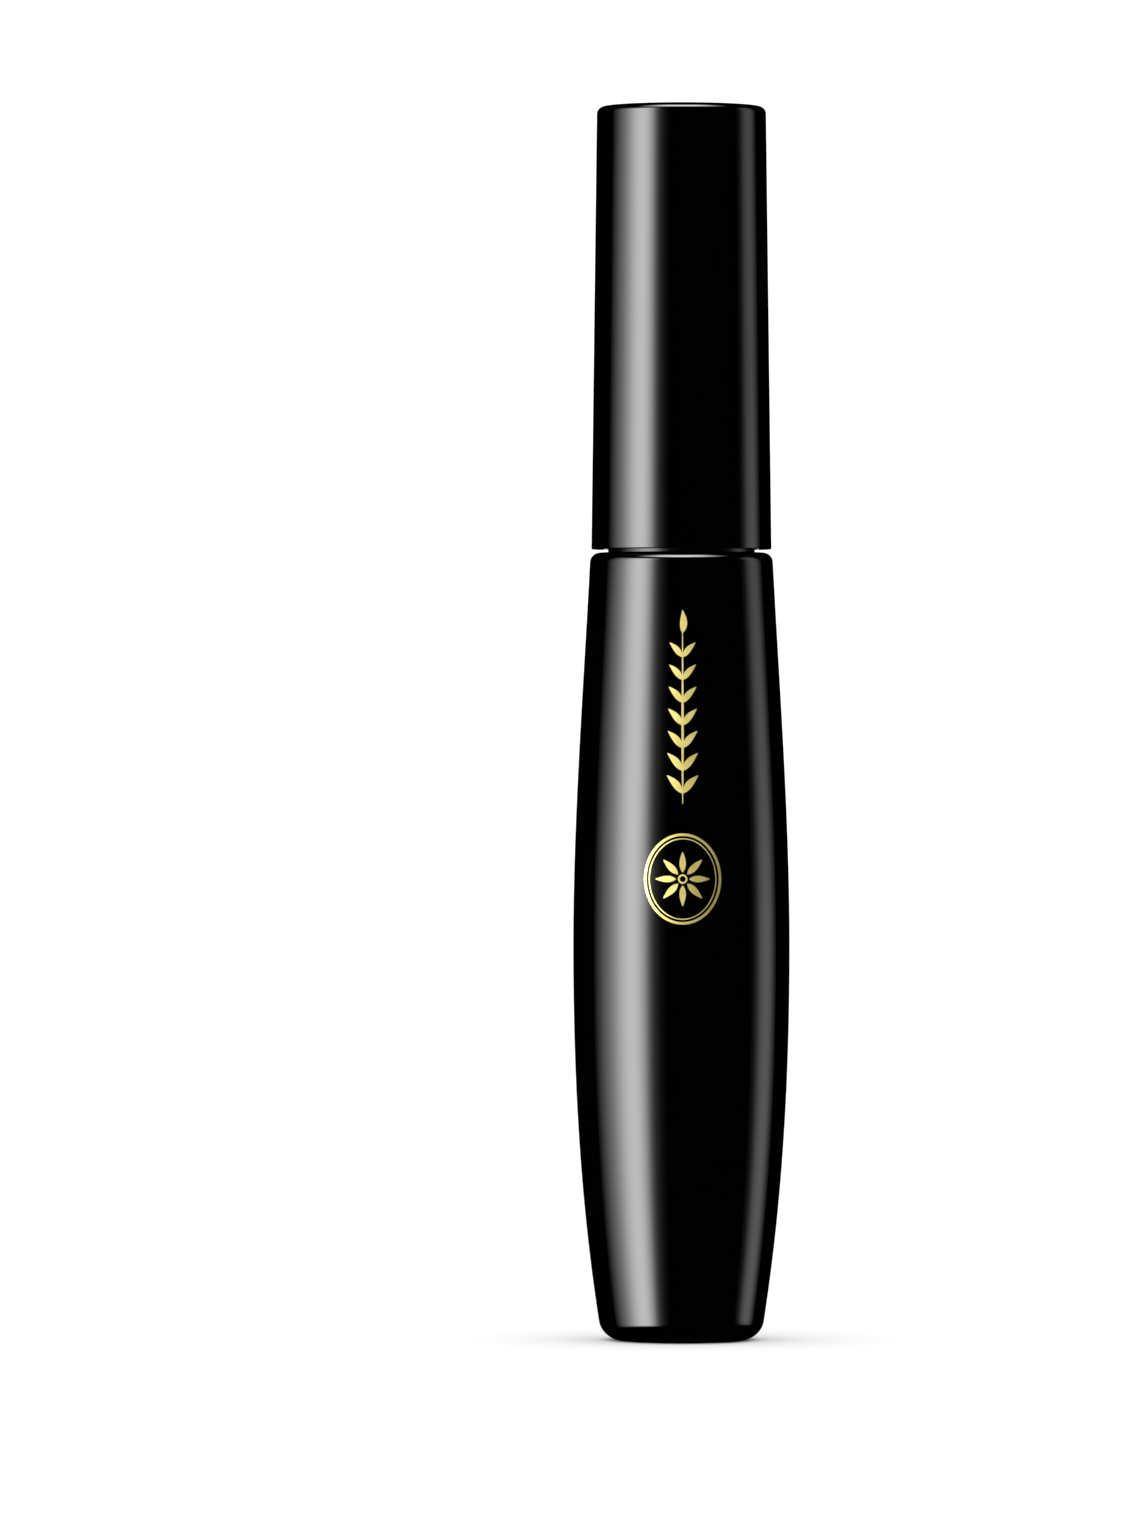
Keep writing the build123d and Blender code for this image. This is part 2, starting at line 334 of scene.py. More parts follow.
def glow_material(name, across, upwards, radiance):
    """A lamp finish whose brightness follows the two lists across the card."""
    material = bpy.data.materials.new(name)
    material.use_nodes = True
    tree = material.node_tree
    tree.nodes.clear()
    place = add_node(tree, "ShaderNodeTexCoord")
    split = add_node(tree, "ShaderNodeSeparateXYZ", inputs={"Vector": place.outputs["UV"]})
    sideways = add_node(tree, "ShaderNodeValToRGB", inputs={"Fac": split.outputs["X"]},
                        stops=fade_stops(across))
    upright = add_node(tree, "ShaderNodeValToRGB", inputs={"Fac": split.outputs["Y"]},
                       stops=fade_stops(upwards))
    share = add_node(tree, "ShaderNodeMath", {"operation": "MULTIPLY"},
                     {0: sideways.outputs["Color"], 1: upright.outputs["Color"]})
    power = add_node(tree, "ShaderNodeMath", {"operation": "MULTIPLY"},
                     {0: share.outputs["Value"], 1: radiance})
    glow = add_node(tree, "ShaderNodeEmission", inputs={"Strength": power.outputs["Value"]})
    add_node(tree, "ShaderNodeOutputMaterial", inputs={"Surface": glow.outputs["Emission"]})
    return material


def stage_card(card, name, across, upwards, radiance):
    """Names a card, gives it its glow and lets only reflections see it."""
    card.name = name
    card.data.materials.append(glow_material(name + "_glow", across, upwards, radiance))
    card.visible_camera = False
    card.visible_diffuse = False
    card.visible_shadow = False
    card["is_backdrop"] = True
    print(name, "radiance", radiance)


# %% [markdown]
# Three cards are wrapped onto patches of a large sphere round the tube: a tall softbox at the left, a thin
# strip at the right and a softbox overhead. Azimuth 0 is towards the camera and grows to the right, and the
# lists give degrees. The tall softbox draws the broad highlight and the strip draws the narrow one.

# %% Softboxes round the tube
CARD_DISTANCE = 600.0
CARD_GRID = (32, 24)


def light_card(name, azimuths, elevations, radiance):
    """A glowing patch of a sphere round the tube, seen only in reflections."""
    bpy.ops.object.select_all(action="DESELECT")
    bpy.ops.mesh.primitive_grid_add(x_subdivisions=CARD_GRID[0], y_subdivisions=CARD_GRID[1], size=2,
                                    location=(0, 0, 0))
    card = bpy.context.object
    for vertex in card.data.vertices:
        azimuth = math.radians(blend_between(azimuths[0][0], azimuths[-1][0], (vertex.co.x + 1) / 2))
        elevation = math.radians(blend_between(elevations[0][0], elevations[-1][0], (vertex.co.y + 1) / 2))
        outwards = math.cos(elevation)
        way = Vector((math.sin(azimuth) * outwards, -math.cos(azimuth) * outwards, math.sin(elevation)))
        vertex.co = way * CARD_DISTANCE * MM + Vector((0, 0, CAMERA_HEIGHT * MM))
    stage_card(card, name, azimuths, elevations, radiance)


light_card(
    "tall_softbox",
    [(-108, 0), (-103, 0.02), (-98, 0.06), (-94, 0.1), (-86, 0.21), (-80, 0.33), (-74, 0.51),
     (-67, 0.75), (-61, 0.92), (-55, 1.0), (-50, 0.95), (-46, 0.82), (-42, 0.62), (-39, 0.45),
     (-36, 0.25), (-33, 0.12), (-29, 0.04), (-23, 0.01), (-16, 0)],
    [(-33, 0), (-27, 1), (30, 1), (38, 0)],
    12.4,
)
light_card(
    "thin_strip_light",
    [(78, 0), (84, 0.1), (88, 0.35), (93, 0.8), (99, 1.0), (104, 0.95), (109, 0.65), (114, 0.25),
     (120, 0)],
    [(-25, 0), (-20, 1), (-2, 1), (3, 0.8), (6, 0.66), (30, 0.6), (38, 0)],
    1.55,
)
light_card(
    "overhead_softbox",
    [(-85, 0), (-62, 0.4), (-39, 0.8), (-12, 0.97), (5, 1), (25, 0.9), (39, 0.74), (53, 0.54),
     (67, 0.28), (80, 0.07), (90, 0)],
    [(50, 0), (54, 1), (72, 1), (80, 0)],
    16.5,
)

# %% [markdown]
# The back of the tube needs a light too, or the sides would show as a flat black. A narrow strip stands close
# behind the tube, where the tube itself hides it from the camera, so it gives no bright outline in front.

# %% Strip behind the tube
REAR_STRIP_BACK = 30.0
REAR_STRIP_RADIANCE = 7.0
REAR_STRIP_ACROSS = [(-7, 0), (-3.5, 0.8), (0, 1), (3.5, 0.8), (7, 0)]
REAR_STRIP_HEIGHTS = [(3, 0), (12, 1), (100, 1), (111, 0)]

low, high = REAR_STRIP_HEIGHTS[0][0], REAR_STRIP_HEIGHTS[-1][0]
bpy.ops.object.select_all(action="DESELECT")
bpy.ops.mesh.primitive_plane_add(size=MM, location=(0, REAR_STRIP_BACK * MM, (low + high) / 2 * MM),
                                 rotation=(math.pi / 2, 0, 0))
bpy.context.object.scale = (2 * REAR_STRIP_ACROSS[-1][0], high - low, 1)
stage_card(bpy.context.object, "rear_strip_light", REAR_STRIP_ACROSS, REAR_STRIP_HEIGHTS, REAR_STRIP_RADIANCE)

# %% [markdown]
# ## Finishes
# The finishes come next, each named for its real material and how its surface was made. All of them read
# Object coordinates, which are metres here, so a pattern's scale is one over its real size in metres.


# %% Start a finish
def start_finish(name, colour, roughness, ior=1.5):
    """A new material with the shader's own values set, and its Object coordinates."""
    material = bpy.data.materials.new(name)
    material.use_nodes = True
    tree = material.node_tree
    shader = tree.nodes["Principled BSDF"]
    shader.inputs["Base Color"].default_value = to_linear(colour)
    shader.inputs["Roughness"].default_value = roughness
    shader.inputs["IOR"].default_value = ior
    place = add_node(tree, "ShaderNodeTexCoord").outputs["Object"]
    return material, tree, shader, place


def lumps_of(size_mm):
    """The scale of a pattern whose lumps are that many millimetres across."""
    return 1 / (size_mm * MM)


def evenly(*hex_colours):
    """Ramp stops for hex colours at even distances."""
    return [(step / (len(hex_colours) - 1), to_linear(colour)) for step, colour in enumerate(hex_colours)]


# %% [markdown]
# The bottle and the cap are ABS moulded in a mirror-polished steel mould. The eye sees a black with no
# grain, whose reflections are crisp but very slightly uneven: the wall thickness changes how the plastic
# shrinks as it cools, which leaves waves about 9 mm long and far too low to feel.

# %% Polished moulded ABS
polished_abs, tree, shader, place = start_finish("polished_black_moulded_abs", "#010101", 0.05, ior=1.5)
haze = add_node(tree, "ShaderNodeTexNoise", inputs={"Vector": place, "Scale": lumps_of(14.0)})
add_node(tree, "ShaderNodeMapRange", inputs={"Value": haze.outputs["Fac"], "To Min": 0.03, "To Max": 0.07},
         outputs={"Result": shader.inputs["Roughness"]})
waves = add_node(tree, "ShaderNodeTexNoise", inputs={"Vector": place, "Scale": lumps_of(9.0), "Detail": 0.0})
add_node(tree, "ShaderNodeBump", inputs={"Height": waves.outputs["Fac"], "Distance": 0.0015 * MM},
         outputs={"Normal": shader.inputs["Normal"]})
print(polished_abs.name)

# %% [markdown]
# The wand is acetal, a harder and slicker plastic. Its mould is polished less, so its gloss is a little
# softer and has a fine unevenness about a millimetre across.

# %% Moulded acetal
moulded_acetal, tree, shader, place = start_finish("black_moulded_acetal", "#020202", 0.09, ior=1.48)
haze = add_node(tree, "ShaderNodeTexNoise", inputs={"Vector": place, "Scale": lumps_of(3.0)})
add_node(tree, "ShaderNodeMapRange", inputs={"Value": haze.outputs["Fac"], "To Min": 0.06, "To Max": 0.13},
         outputs={"Result": shader.inputs["Roughness"]})
waves = add_node(tree, "ShaderNodeTexNoise", inputs={"Vector": place, "Scale": lumps_of(1.2), "Detail": 1.0})
add_node(tree, "ShaderNodeBump", inputs={"Height": waves.outputs["Fac"], "Distance": 0.0004 * MM},
         outputs={"Normal": shader.inputs["Normal"]})
print(moulded_acetal.name)

# %% [markdown]
# The vial and the inner cap are polypropylene, which is waxy and never quite glossy. The mould's fine
# spark-eroded grain is a few hundredths of a millimetre wide. It is drawn coarser so that it shows, 0.5 mm on
# the vial and 0.12 mm on the inner cap.

# %% Moulded polypropylene, semi-gloss, for the vial
vial_plastic, tree, shader, place = start_finish("black_polypropylene_semi_gloss", "#0A0A0B", 0.25, ior=1.49)
haze = add_node(tree, "ShaderNodeTexNoise", inputs={"Vector": place, "Scale": lumps_of(2.0), "Detail": 4.0})
add_node(tree, "ShaderNodeMapRange", inputs={"Value": haze.outputs["Fac"], "To Min": 0.2, "To Max": 0.32},
         outputs={"Result": shader.inputs["Roughness"]})
grain = add_node(tree, "ShaderNodeTexNoise", inputs={"Vector": place, "Scale": lumps_of(0.5)})
add_node(tree, "ShaderNodeBump", inputs={"Height": grain.outputs["Fac"], "Distance": 0.001 * MM},
         outputs={"Normal": shader.inputs["Normal"]})
print(vial_plastic.name)

# %% [markdown]
# The inner cap is moulded in a duller mould than the vial, because nobody sees it, so its black is satin.

# %% Moulded polypropylene, satin, for the inner cap
liner_plastic, tree, shader, place = start_finish("black_polypropylene_satin", "#101011", 0.42, ior=1.49)
haze = add_node(tree, "ShaderNodeTexNoise", inputs={"Vector": place, "Scale": lumps_of(1.5), "Detail": 4.0})
add_node(tree, "ShaderNodeMapRange", inputs={"Value": haze.outputs["Fac"], "To Min": 0.36, "To Max": 0.5},
         outputs={"Result": shader.inputs["Roughness"]})
grain = add_node(tree, "ShaderNodeTexNoise", inputs={"Vector": place, "Scale": lumps_of(0.12)})
add_node(tree, "ShaderNodeBump", inputs={"Height": grain.outputs["Fac"], "Distance": 0.002 * MM},
         outputs={"Normal": shader.inputs["Normal"]})
print(liner_plastic.name)

# %% [markdown]
# The wiper is a soft polyethylene, milky and slightly see-through, with traces of mascara on the lip where
# each stroke is wiped off. The tint follows the height, so that the stain sits low down on the cone.

# %% Soft polyethylene wiper
STAIN_FROM = 0.6
STAIN_TO = 6.0

wiper_soft, tree, shader, place = start_finish("soft_milky_polyethylene", "#B9B7B2", 0.42, ior=1.51)
height = add_node(tree, "ShaderNodeSeparateXYZ", inputs={"Vector": place}).outputs["Z"]
stain = add_node(tree, "ShaderNodeMapRange", inputs={
    "Value": height, "From Min": (wiper_lip_z + STAIN_FROM) * MM, "From Max": (wiper_lip_z + STAIN_TO) * MM})
smears = add_node(tree, "ShaderNodeTexNoise",
                  inputs={"Vector": place, "Scale": lumps_of(0.8), "Detail": 4.0})
uneven = add_node(tree, "ShaderNodeMath", {"operation": "MULTIPLY_ADD", "use_clamp": True}, {
    0: smears.outputs["Fac"], 1: 0.7, 2: stain.outputs["Result"]})
add_node(tree, "ShaderNodeValToRGB", inputs={"Fac": uneven.outputs["Value"]},
         stops=evenly("#151314", "#57534F", "#A8A6A1", "#C6C4BF"),
         outputs={"Color": shader.inputs["Base Color"]})
ripples = add_node(tree, "ShaderNodeTexNoise", inputs={"Vector": place, "Scale": lumps_of(0.6)})
add_node(tree, "ShaderNodeBump", inputs={"Height": ripples.outputs["Fac"], "Distance": 0.004 * MM},
         outputs={"Normal": shader.inputs["Normal"]})
shader.inputs["Subsurface Weight"].default_value = 0.15
shader.inputs["Subsurface Scale"].default_value = 0.6 * MM
shader.inputs["Subsurface Radius"].default_value = (1.0, 0.9, 0.8)
print(wiper_soft.name)

# %% [markdown]
# The washer under the cap is closed-cell polyethylene foam, punched from a sheet. The eye sees a matt
# off-white with pin-holes: its cells are about 0.25 mm across, and a Voronoi pattern gives their rims.

# %% Closed-cell foam washer
cell_foam, tree, shader, place = start_finish("closed_cell_polyethylene_foam", "#DEDDD8", 0.75, ior=1.5)
cells = add_node(tree, "ShaderNodeTexVoronoi", inputs={"Vector": place, "Scale": lumps_of(0.25)})
add_node(tree, "ShaderNodeValToRGB", inputs={"Fac": cells.outputs["Distance"]},
         stops=evenly("#C9C8C2", "#DEDDD8", "#EAE9E5"), outputs={"Color": shader.inputs["Base Color"]})
add_node(tree, "ShaderNodeBump", inputs={"Height": cells.outputs["Distance"], "Distance": 0.03 * MM},
         outputs={"Normal": shader.inputs["Normal"]})
print(cell_foam.name)

# %% [markdown]
# Mascara is black iron oxide in wax and water. It is darker than the plastic round it, wet on top and
# lumpy where the brush has passed, so it has a rounded coarse bump under a soft wet shine.

# %% Wet mascara
wet_mascara, tree, shader, place = start_finish("wet_wax_mascara", "#050405", 0.22, ior=1.45)
wetness = add_node(tree, "ShaderNodeTexNoise",
                   inputs={"Vector": place, "Scale": lumps_of(0.7), "Detail": 3.0})
add_node(tree, "ShaderNodeMapRange",
         inputs={"Value": wetness.outputs["Fac"], "To Min": 0.12, "To Max": 0.38},
         outputs={"Result": shader.inputs["Roughness"]})
lumps = add_node(tree, "ShaderNodeTexNoise", inputs={"Vector": place, "Scale": lumps_of(0.9), "Detail": 4.0})
add_node(tree, "ShaderNodeBump", inputs={"Height": lumps.outputs["Fac"], "Distance": 0.08 * MM},
         outputs={"Normal": shader.inputs["Normal"]})
print(wet_mascara.name)

# %% [markdown]
# The brush core is stainless wire under a baked black lacquer. The lacquer hides the metal, and what is
# left is a dull sheen broken along the wire, where the twisting has stretched the coat. Mascara dries on it,
# so its specular level is under that of clean lacquer.

# %% Lacquered wire
lacquered_wire, tree, shader, place = start_finish("black_lacquered_steel_wire", "#101010", 0.35, ior=1.5)
wear = add_node(tree, "ShaderNodeTexNoise", inputs={"Vector": place, "Scale": lumps_of(0.4), "Detail": 4.0})
add_node(tree, "ShaderNodeMapRange", inputs={"Value": wear.outputs["Fac"], "To Min": 0.36, "To Max": 0.55},
         outputs={"Result": shader.inputs["Roughness"]})
patches = add_node(tree, "ShaderNodeTexNoise", inputs={"Vector": place, "Scale": lumps_of(0.9)})
add_node(tree, "ShaderNodeValToRGB", inputs={"Fac": patches.outputs["Fac"]},
         stops=evenly("#050505", "#0C0C0D"), outputs={"Color": shader.inputs["Base Color"]})
orange_peel = add_node(tree, "ShaderNodeTexNoise", inputs={"Vector": place, "Scale": lumps_of(0.15)})
add_node(tree, "ShaderNodeBump", inputs={"Height": orange_peel.outputs["Fac"], "Distance": 0.004 * MM},
         outputs={"Normal": shader.inputs["Normal"]})
shader.inputs["Specular IOR Level"].default_value = 0.3
print(lacquered_wire.name)

# %% [markdown]
# The fibres are drawn nylon, dyed black in the melt. The colour drifts a little from one tuft to the next.
# Dried mascara dulls them, and fine fibres shade each other, so a tuft sends back far less light than one
# smooth surface would. The low specular level and the roughness stand for that.

# %% Drawn nylon fibre
drawn_nylon, tree, shader, place = start_finish("black_drawn_nylon_fibre", "#040404", 0.58, ior=1.53)
dye = add_node(tree, "ShaderNodeTexNoise", inputs={"Vector": place, "Scale": lumps_of(0.5), "Detail": 1.0})
add_node(tree, "ShaderNodeValToRGB", inputs={"Fac": dye.outputs["Fac"]},
         stops=evenly("#020202", "#040404", "#070707"), outputs={"Color": shader.inputs["Base Color"]})
sheen = add_node(tree, "ShaderNodeTexNoise", inputs={"Vector": place, "Scale": lumps_of(0.3), "Detail": 1.0})
add_node(tree, "ShaderNodeMapRange", inputs={"Value": sheen.outputs["Fac"], "To Min": 0.5, "To Max": 0.66},
         outputs={"Result": shader.inputs["Roughness"]})
shader.inputs["Specular IOR Level"].default_value = 0.15
print(drawn_nylon.name)

# %% [markdown]
# The decoration is gold foil, stamped on with a hot die. It is real metal a few thousandths of a millimetre
# thick, so its shader is metallic, and the die leaves it slightly satin, which spreads the light of the
# softboxes into an even warm gold. The heat of the stamp leaves a fine mottle in the colour, 0.7 mm across,
# and one in the satin, 0.3 mm across.

# %% Hot-stamped gold foil
gold_foil, tree, shader, place = start_finish("hot_stamped_gold_foil", "#FBEB8C", 0.5)
shader.inputs["Metallic"].default_value = 1.0
mottle = add_node(tree, "ShaderNodeTexNoise", inputs={"Vector": place, "Scale": lumps_of(0.7)})
add_node(tree, "ShaderNodeValToRGB", inputs={"Fac": mottle.outputs["Fac"]},
         stops=evenly("#F0DA6E", "#FBEB8C", "#FFF7BE"), outputs={"Color": shader.inputs["Base Color"]})
satin = add_node(tree, "ShaderNodeTexNoise", inputs={"Vector": place, "Scale": lumps_of(0.3)})
add_node(tree, "ShaderNodeMapRange", inputs={"Value": satin.outputs["Fac"], "To Min": 0.46, "To Max": 0.58},
         outputs={"Result": shader.inputs["Roughness"]})
print(gold_foil.name)

# %% [markdown]
# The blank round label in the base is white polypropylene film. It is satin, with a faint grain from the
# roll that cast it. The CAD disc already has the right shape, so it stays and only takes this finish.

# %% Film label, on the CAD node
label_film, tree, shader, place = start_finish("white_polypropylene_film_label", "#E9E9E6", 0.45, ior=1.49)
cloudiness = add_node(tree, "ShaderNodeTexNoise",
                      inputs={"Vector": place, "Scale": lumps_of(0.6), "Detail": 4.0})
add_node(tree, "ShaderNodeValToRGB", inputs={"Fac": cloudiness.outputs["Fac"]},
         stops=evenly("#E0E0DC", "#ECECEA"), outputs={"Color": shader.inputs["Base Color"]})
grain = add_node(tree, "ShaderNodeTexNoise", inputs={"Vector": place, "Scale": lumps_of(0.2)})
add_node(tree, "ShaderNodeBump", inputs={"Height": grain.outputs["Fac"], "Distance": 0.001 * MM},
         outputs={"Normal": shader.inputs["Normal"]})
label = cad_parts["shade_label"]
label.data.materials.clear()
label.data.materials.append(label_film)
print(label.name, "keeps its CAD shape")

# %% [markdown]
# ## The outer bottle
# The bottle is one heavy moulding. Its wall swells from the foot to the belly and narrows to the shoulder in
# one sweep, and a Bezier curve is made for that: three control points with handles give the whole wall. The
# curve becomes a chain of vertices, its two ends are extruded to the bore and to the base, and it is spun.

# %% The barrel's wall as a Bezier curve
FOOT_RADIUS = 7.475
SHOULDER_RADIUS = 8.56
BELLY_HEIGHT = 37.1
FOOT_LEAN = 0.167
SHOULDER_LEAN = 0.051
VIAL_RADIUS = 6.4
LABEL_RECESS_RADIUS = 4.52
LABEL_RECESS = 0.25
FOOT_EDGE = 2.1
SHOULDER_EDGE = 0.95
WALL_RINGS = 16


def barrel_wall():
    """A chain of vertices along the barrel's wall, as an object in edit mode."""
    bpy.ops.object.select_all(action="DESELECT")
    bpy.ops.curve.primitive_bezier_curve_add(location=(0, 0, 0))
    wall = bpy.context.object
    wall.data.resolution_u = WALL_RINGS
    spline = wall.data.splines[0]
    spline.bezier_points.add(1)
    low = BELLY_HEIGHT / 3
    high = (shoulder_z - BELLY_HEIGHT) / 3
    stations = [
        (FOOT_RADIUS, 0.0, FOOT_LEAN, low),
        (belly_radius, BELLY_HEIGHT, 0.0, low),
        (SHOULDER_RADIUS, shoulder_z, -SHOULDER_LEAN, high),
    ]
    for point, (radius, height, lean, reach) in zip(spline.bezier_points, stations):
        point.handle_left_type = "FREE"
        point.handle_right_type = "FREE"
        point.co = (radius * MM, 0, height * MM)
        point.handle_left = ((radius - lean * reach) * MM, 0, (height - reach) * MM)
        point.handle_right = ((radius + lean * reach) * MM, 0, (height + reach) * MM)
    spline.bezier_points[1].handle_right = (belly_radius * MM, 0, (BELLY_HEIGHT + high) * MM)
    bpy.ops.object.convert(target="MESH")
    bpy.ops.object.mode_set(mode="EDIT")
    return bpy.context.object


bottle = barrel_wall()
bottle.name = bottle.data.name = "bottle_barrel"
print("chain of", len(bottle.data.vertices), "vertices")

# %% [markdown]
# The shoulder end of the chain goes in to the bore that holds the vial and down to its floor. The foot end
# goes in to the shallow recess that keeps the label off the table.

# %% Bore, recess, spin and rounded corners
pick(bottle, "verts", at_ring(SHOULDER_RADIUS, shoulder_z))
extrude_through([(SHOULDER_RADIUS, shoulder_z), (VIAL_RADIUS, shoulder_z), (VIAL_RADIUS, vial_base_z),
                 (0, vial_base_z)])
pick(bottle, "verts", at_ring(FOOT_RADIUS, 0))
extrude_through([(FOOT_RADIUS, 0), (LABEL_RECESS_RADIUS, 0), (LABEL_RECESS_RADIUS, LABEL_RECESS),
                 (0, LABEL_RECESS)])
spin_round(bottle)
foot_angle = 90 + math.degrees(math.atan(FOOT_LEAN))
shoulder_angle = 90 + math.degrees(math.atan(SHOULDER_LEAN))
round_corner(bottle, (FOOT_RADIUS, 0), FOOT_EDGE, 14, foot_angle)
round_corner(bottle, (SHOULDER_RADIUS, shoulder_z), SHOULDER_EDGE, 10, shoulder_angle)
finish_piece(bottle, "bottle", polished_abs, ["outer_bottle"], soften=0.05)

# %% [markdown]
# ## The outer cap
# The cap is a tapered cup. Inside its mouth the bore has two steps: one stops the inner cap, and the wide
# mouth goes over the vial's collar. The top edge is rounded by 0.7 mm, and that thin rounding is what
# catches the overhead light as a fine pale line.

# %% Cap: outline, spin and rounded edges
CAP_TOP_RADIUS = 7.95
CAP_RIM_RADIUS = 8.47
CAP_MOUTH_RADIUS = 7.27
CAP_ROOF = 1.6
CAP_STEP = 0.43
CAP_TOP_EDGE = 0.7
CAP_RIM_EDGE = 0.12
SOCKET_HEIGHT = 7.0
cap_roof_z = cap_top_z - CAP_ROOF
web_top_z = socket_top_z - SOCKET_HEIGHT
roof_radius = liner_radius - CAP_STEP

cap = draw("cap_outer", [
    (0, cap_top_z), (CAP_TOP_RADIUS, cap_top_z), (CAP_RIM_RADIUS, rim_z), (CAP_MOUTH_RADIUS, rim_z),
    (CAP_MOUTH_RADIUS, skirt_base_z), (liner_radius, skirt_base_z), (liner_radius, web_top_z),
    (roof_radius, web_top_z), (roof_radius, cap_roof_z), (0, cap_roof_z),
])
spin_round(cap)
round_corner(cap, (CAP_TOP_RADIUS, cap_top_z), CAP_TOP_EDGE, 10)
round_corner(cap, (CAP_RIM_RADIUS, rim_z), CAP_RIM_EDGE, 5)
finish_piece(cap, "applicator", polished_abs, ["cap_shell"], soften=0.06)

# %% [markdown]
# ## Screw threads
# The vial and the inner cap each carry one thread of a turn and a half, with 3 mm from turn to turn. The
# section of the ridge is drawn as a closed outline, and a screw modifier sweeps it round and up. A moulded
# thread runs out gently, so the rings near both ends are drawn back into the wall, and the ends are closed.

# %% Thread ridge
THREAD_PITCH = 3.0
THREAD_TURNS = 1.5
THREAD_DEPTH = 0.55
THREAD_FOOT = 1.3
THREAD_CREST = 0.5
THREAD_SUNK = 0.2
THREAD_STEPS = 96
RUN_OUT_RINGS = 9


def run_out(ridge, sunk, sides):
    """Draws the rings near both ends of a ridge back to the sunk radius."""
    rings = len(ridge.data.vertices) // sides
    for index, vertex in enumerate(ridge.data.vertices):
        ring = index // sides
        share = min(1.0, (min(ring, rings - 1 - ring) + 1) / RUN_OUT_RINGS)
        radius = math.hypot(vertex.co.x, vertex.co.y)
        target = blend_between(sunk * MM, radius, math.sin(share * math.pi / 2))
        vertex.co.x *= target / radius
        vertex.co.y *= target / radius


def thread_ridge(name, wall, crest, start_z):
    """A right-hand ridge on the wall radius, reaching to the crest radius."""
    sunk = wall - math.copysign(THREAD_SUNK, crest - wall)
    foot, top = THREAD_FOOT / 2, THREAD_CREST / 2
    section = [(sunk, -foot), (wall, -foot), (crest, -top), (crest, top), (wall, foot), (sunk, foot)]
    ridge = draw(name, [(radius, start_z + height) for radius, height in section])
    bpy.ops.mesh.select_all(action="SELECT")
    bpy.ops.mesh.edge_face_add()
    bpy.ops.mesh.delete(type="ONLY_FACE")
    bpy.ops.object.mode_set(mode="OBJECT")
    apply_modifier(ridge, "SCREW", axis="Z", angle=math.tau * THREAD_TURNS, iterations=1,
                   screw_offset=THREAD_PITCH * THREAD_TURNS * MM, steps=THREAD_STEPS,
                   render_steps=THREAD_STEPS, use_smooth_shade=True)
    run_out(ridge, sunk, len(section))
    bpy.ops.object.mode_set(mode="EDIT")
    bpy.ops.mesh.select_all(action="SELECT")
    bpy.ops.mesh.remove_doubles(threshold=SAME_PLACE)
    bpy.ops.mesh.fill_holes(sides=0)
    bpy.ops.mesh.select_all(action="SELECT")
    bpy.ops.mesh.normals_make_consistent(inside=False)
    bpy.ops.object.mode_set(mode="OBJECT")
    print(name, count(ridge), "triangles")
    return ridge


# %% [markdown]
# A thread is one moulding with its piece, so it is joined into the piece's mesh.


# %% Join two meshes
def join_into(piece, extra):
    """Joins a second mesh into a piece."""
    bpy.ops.object.select_all(action="DESELECT")
    extra.select_set(True)
    piece.select_set(True)
    bpy.context.view_layer.objects.active = piece
    bpy.ops.object.join()


# %% [markdown]
# ## The vial
# The vial holds the mascara. Only its collar shows in the gap under the cap, and its neck comes into view
# when the wand is lifted out. Its outline goes up the outside, over the rim of the neck and down the inside.

# %% Vial with its collar, neck and thread
CLOSE_FIT = 0.02
COLLAR_HEIGHT = 1.9
NECK_WALL = 1.0
VIAL_THROAT = 3.0
THREAD_START = 1.85
vial_bore = paste_radius + CLOSE_FIT
collar_top_z = shoulder_z + COLLAR_HEIGHT
neck_bore = neck_radius - NECK_WALL
thread_start_z = collar_top_z + THREAD_START

vial = draw("vial_with_neck", [
    (0, vial_base_z), (VIAL_RADIUS, vial_base_z), (VIAL_RADIUS, shoulder_z), (collar_radius, shoulder_z),
    (collar_radius, collar_top_z), (neck_radius, collar_top_z), (neck_radius, neck_top_z),
    (neck_bore, neck_top_z), (neck_bore, shoulder_z), (vial_bore, shoulder_z - VIAL_THROAT),
    (vial_bore, vial_floor_z), (0, vial_floor_z),
])
spin_round(vial)
round_corner(vial, (VIAL_RADIUS, vial_base_z), 0.8, 6)
round_corner(vial, (collar_radius, collar_top_z), 0.25, 4)
bpy.ops.object.mode_set(mode="OBJECT")
join_into(vial, thread_ridge("neck_thread", neck_radius, neck_radius + THREAD_DEPTH, thread_start_z))
finish_piece(vial, "bottle", vial_plastic, ["inner_vial"], soften=0.08)

# %% [markdown]
# ## The inner cap
# The inner cap has a threaded skirt, a web that presses the washer onto the neck, and a socket above the web
# that grips the wand. It is one moulding, so it is one outline, and its thread points inwards.

# %% Inner cap
SKIRT_WALL = 0.9
WEB_THICKNESS = 1.4
SOCKET_WALL = 1.22
STEM_RADIUS = 2.1
THREAD_CLEARANCE = 0.08
liner_bore = liner_radius - SKIRT_WALL
web_base_z = web_top_z - WEB_THICKNESS
socket_radius = STEM_RADIUS + SOCKET_WALL

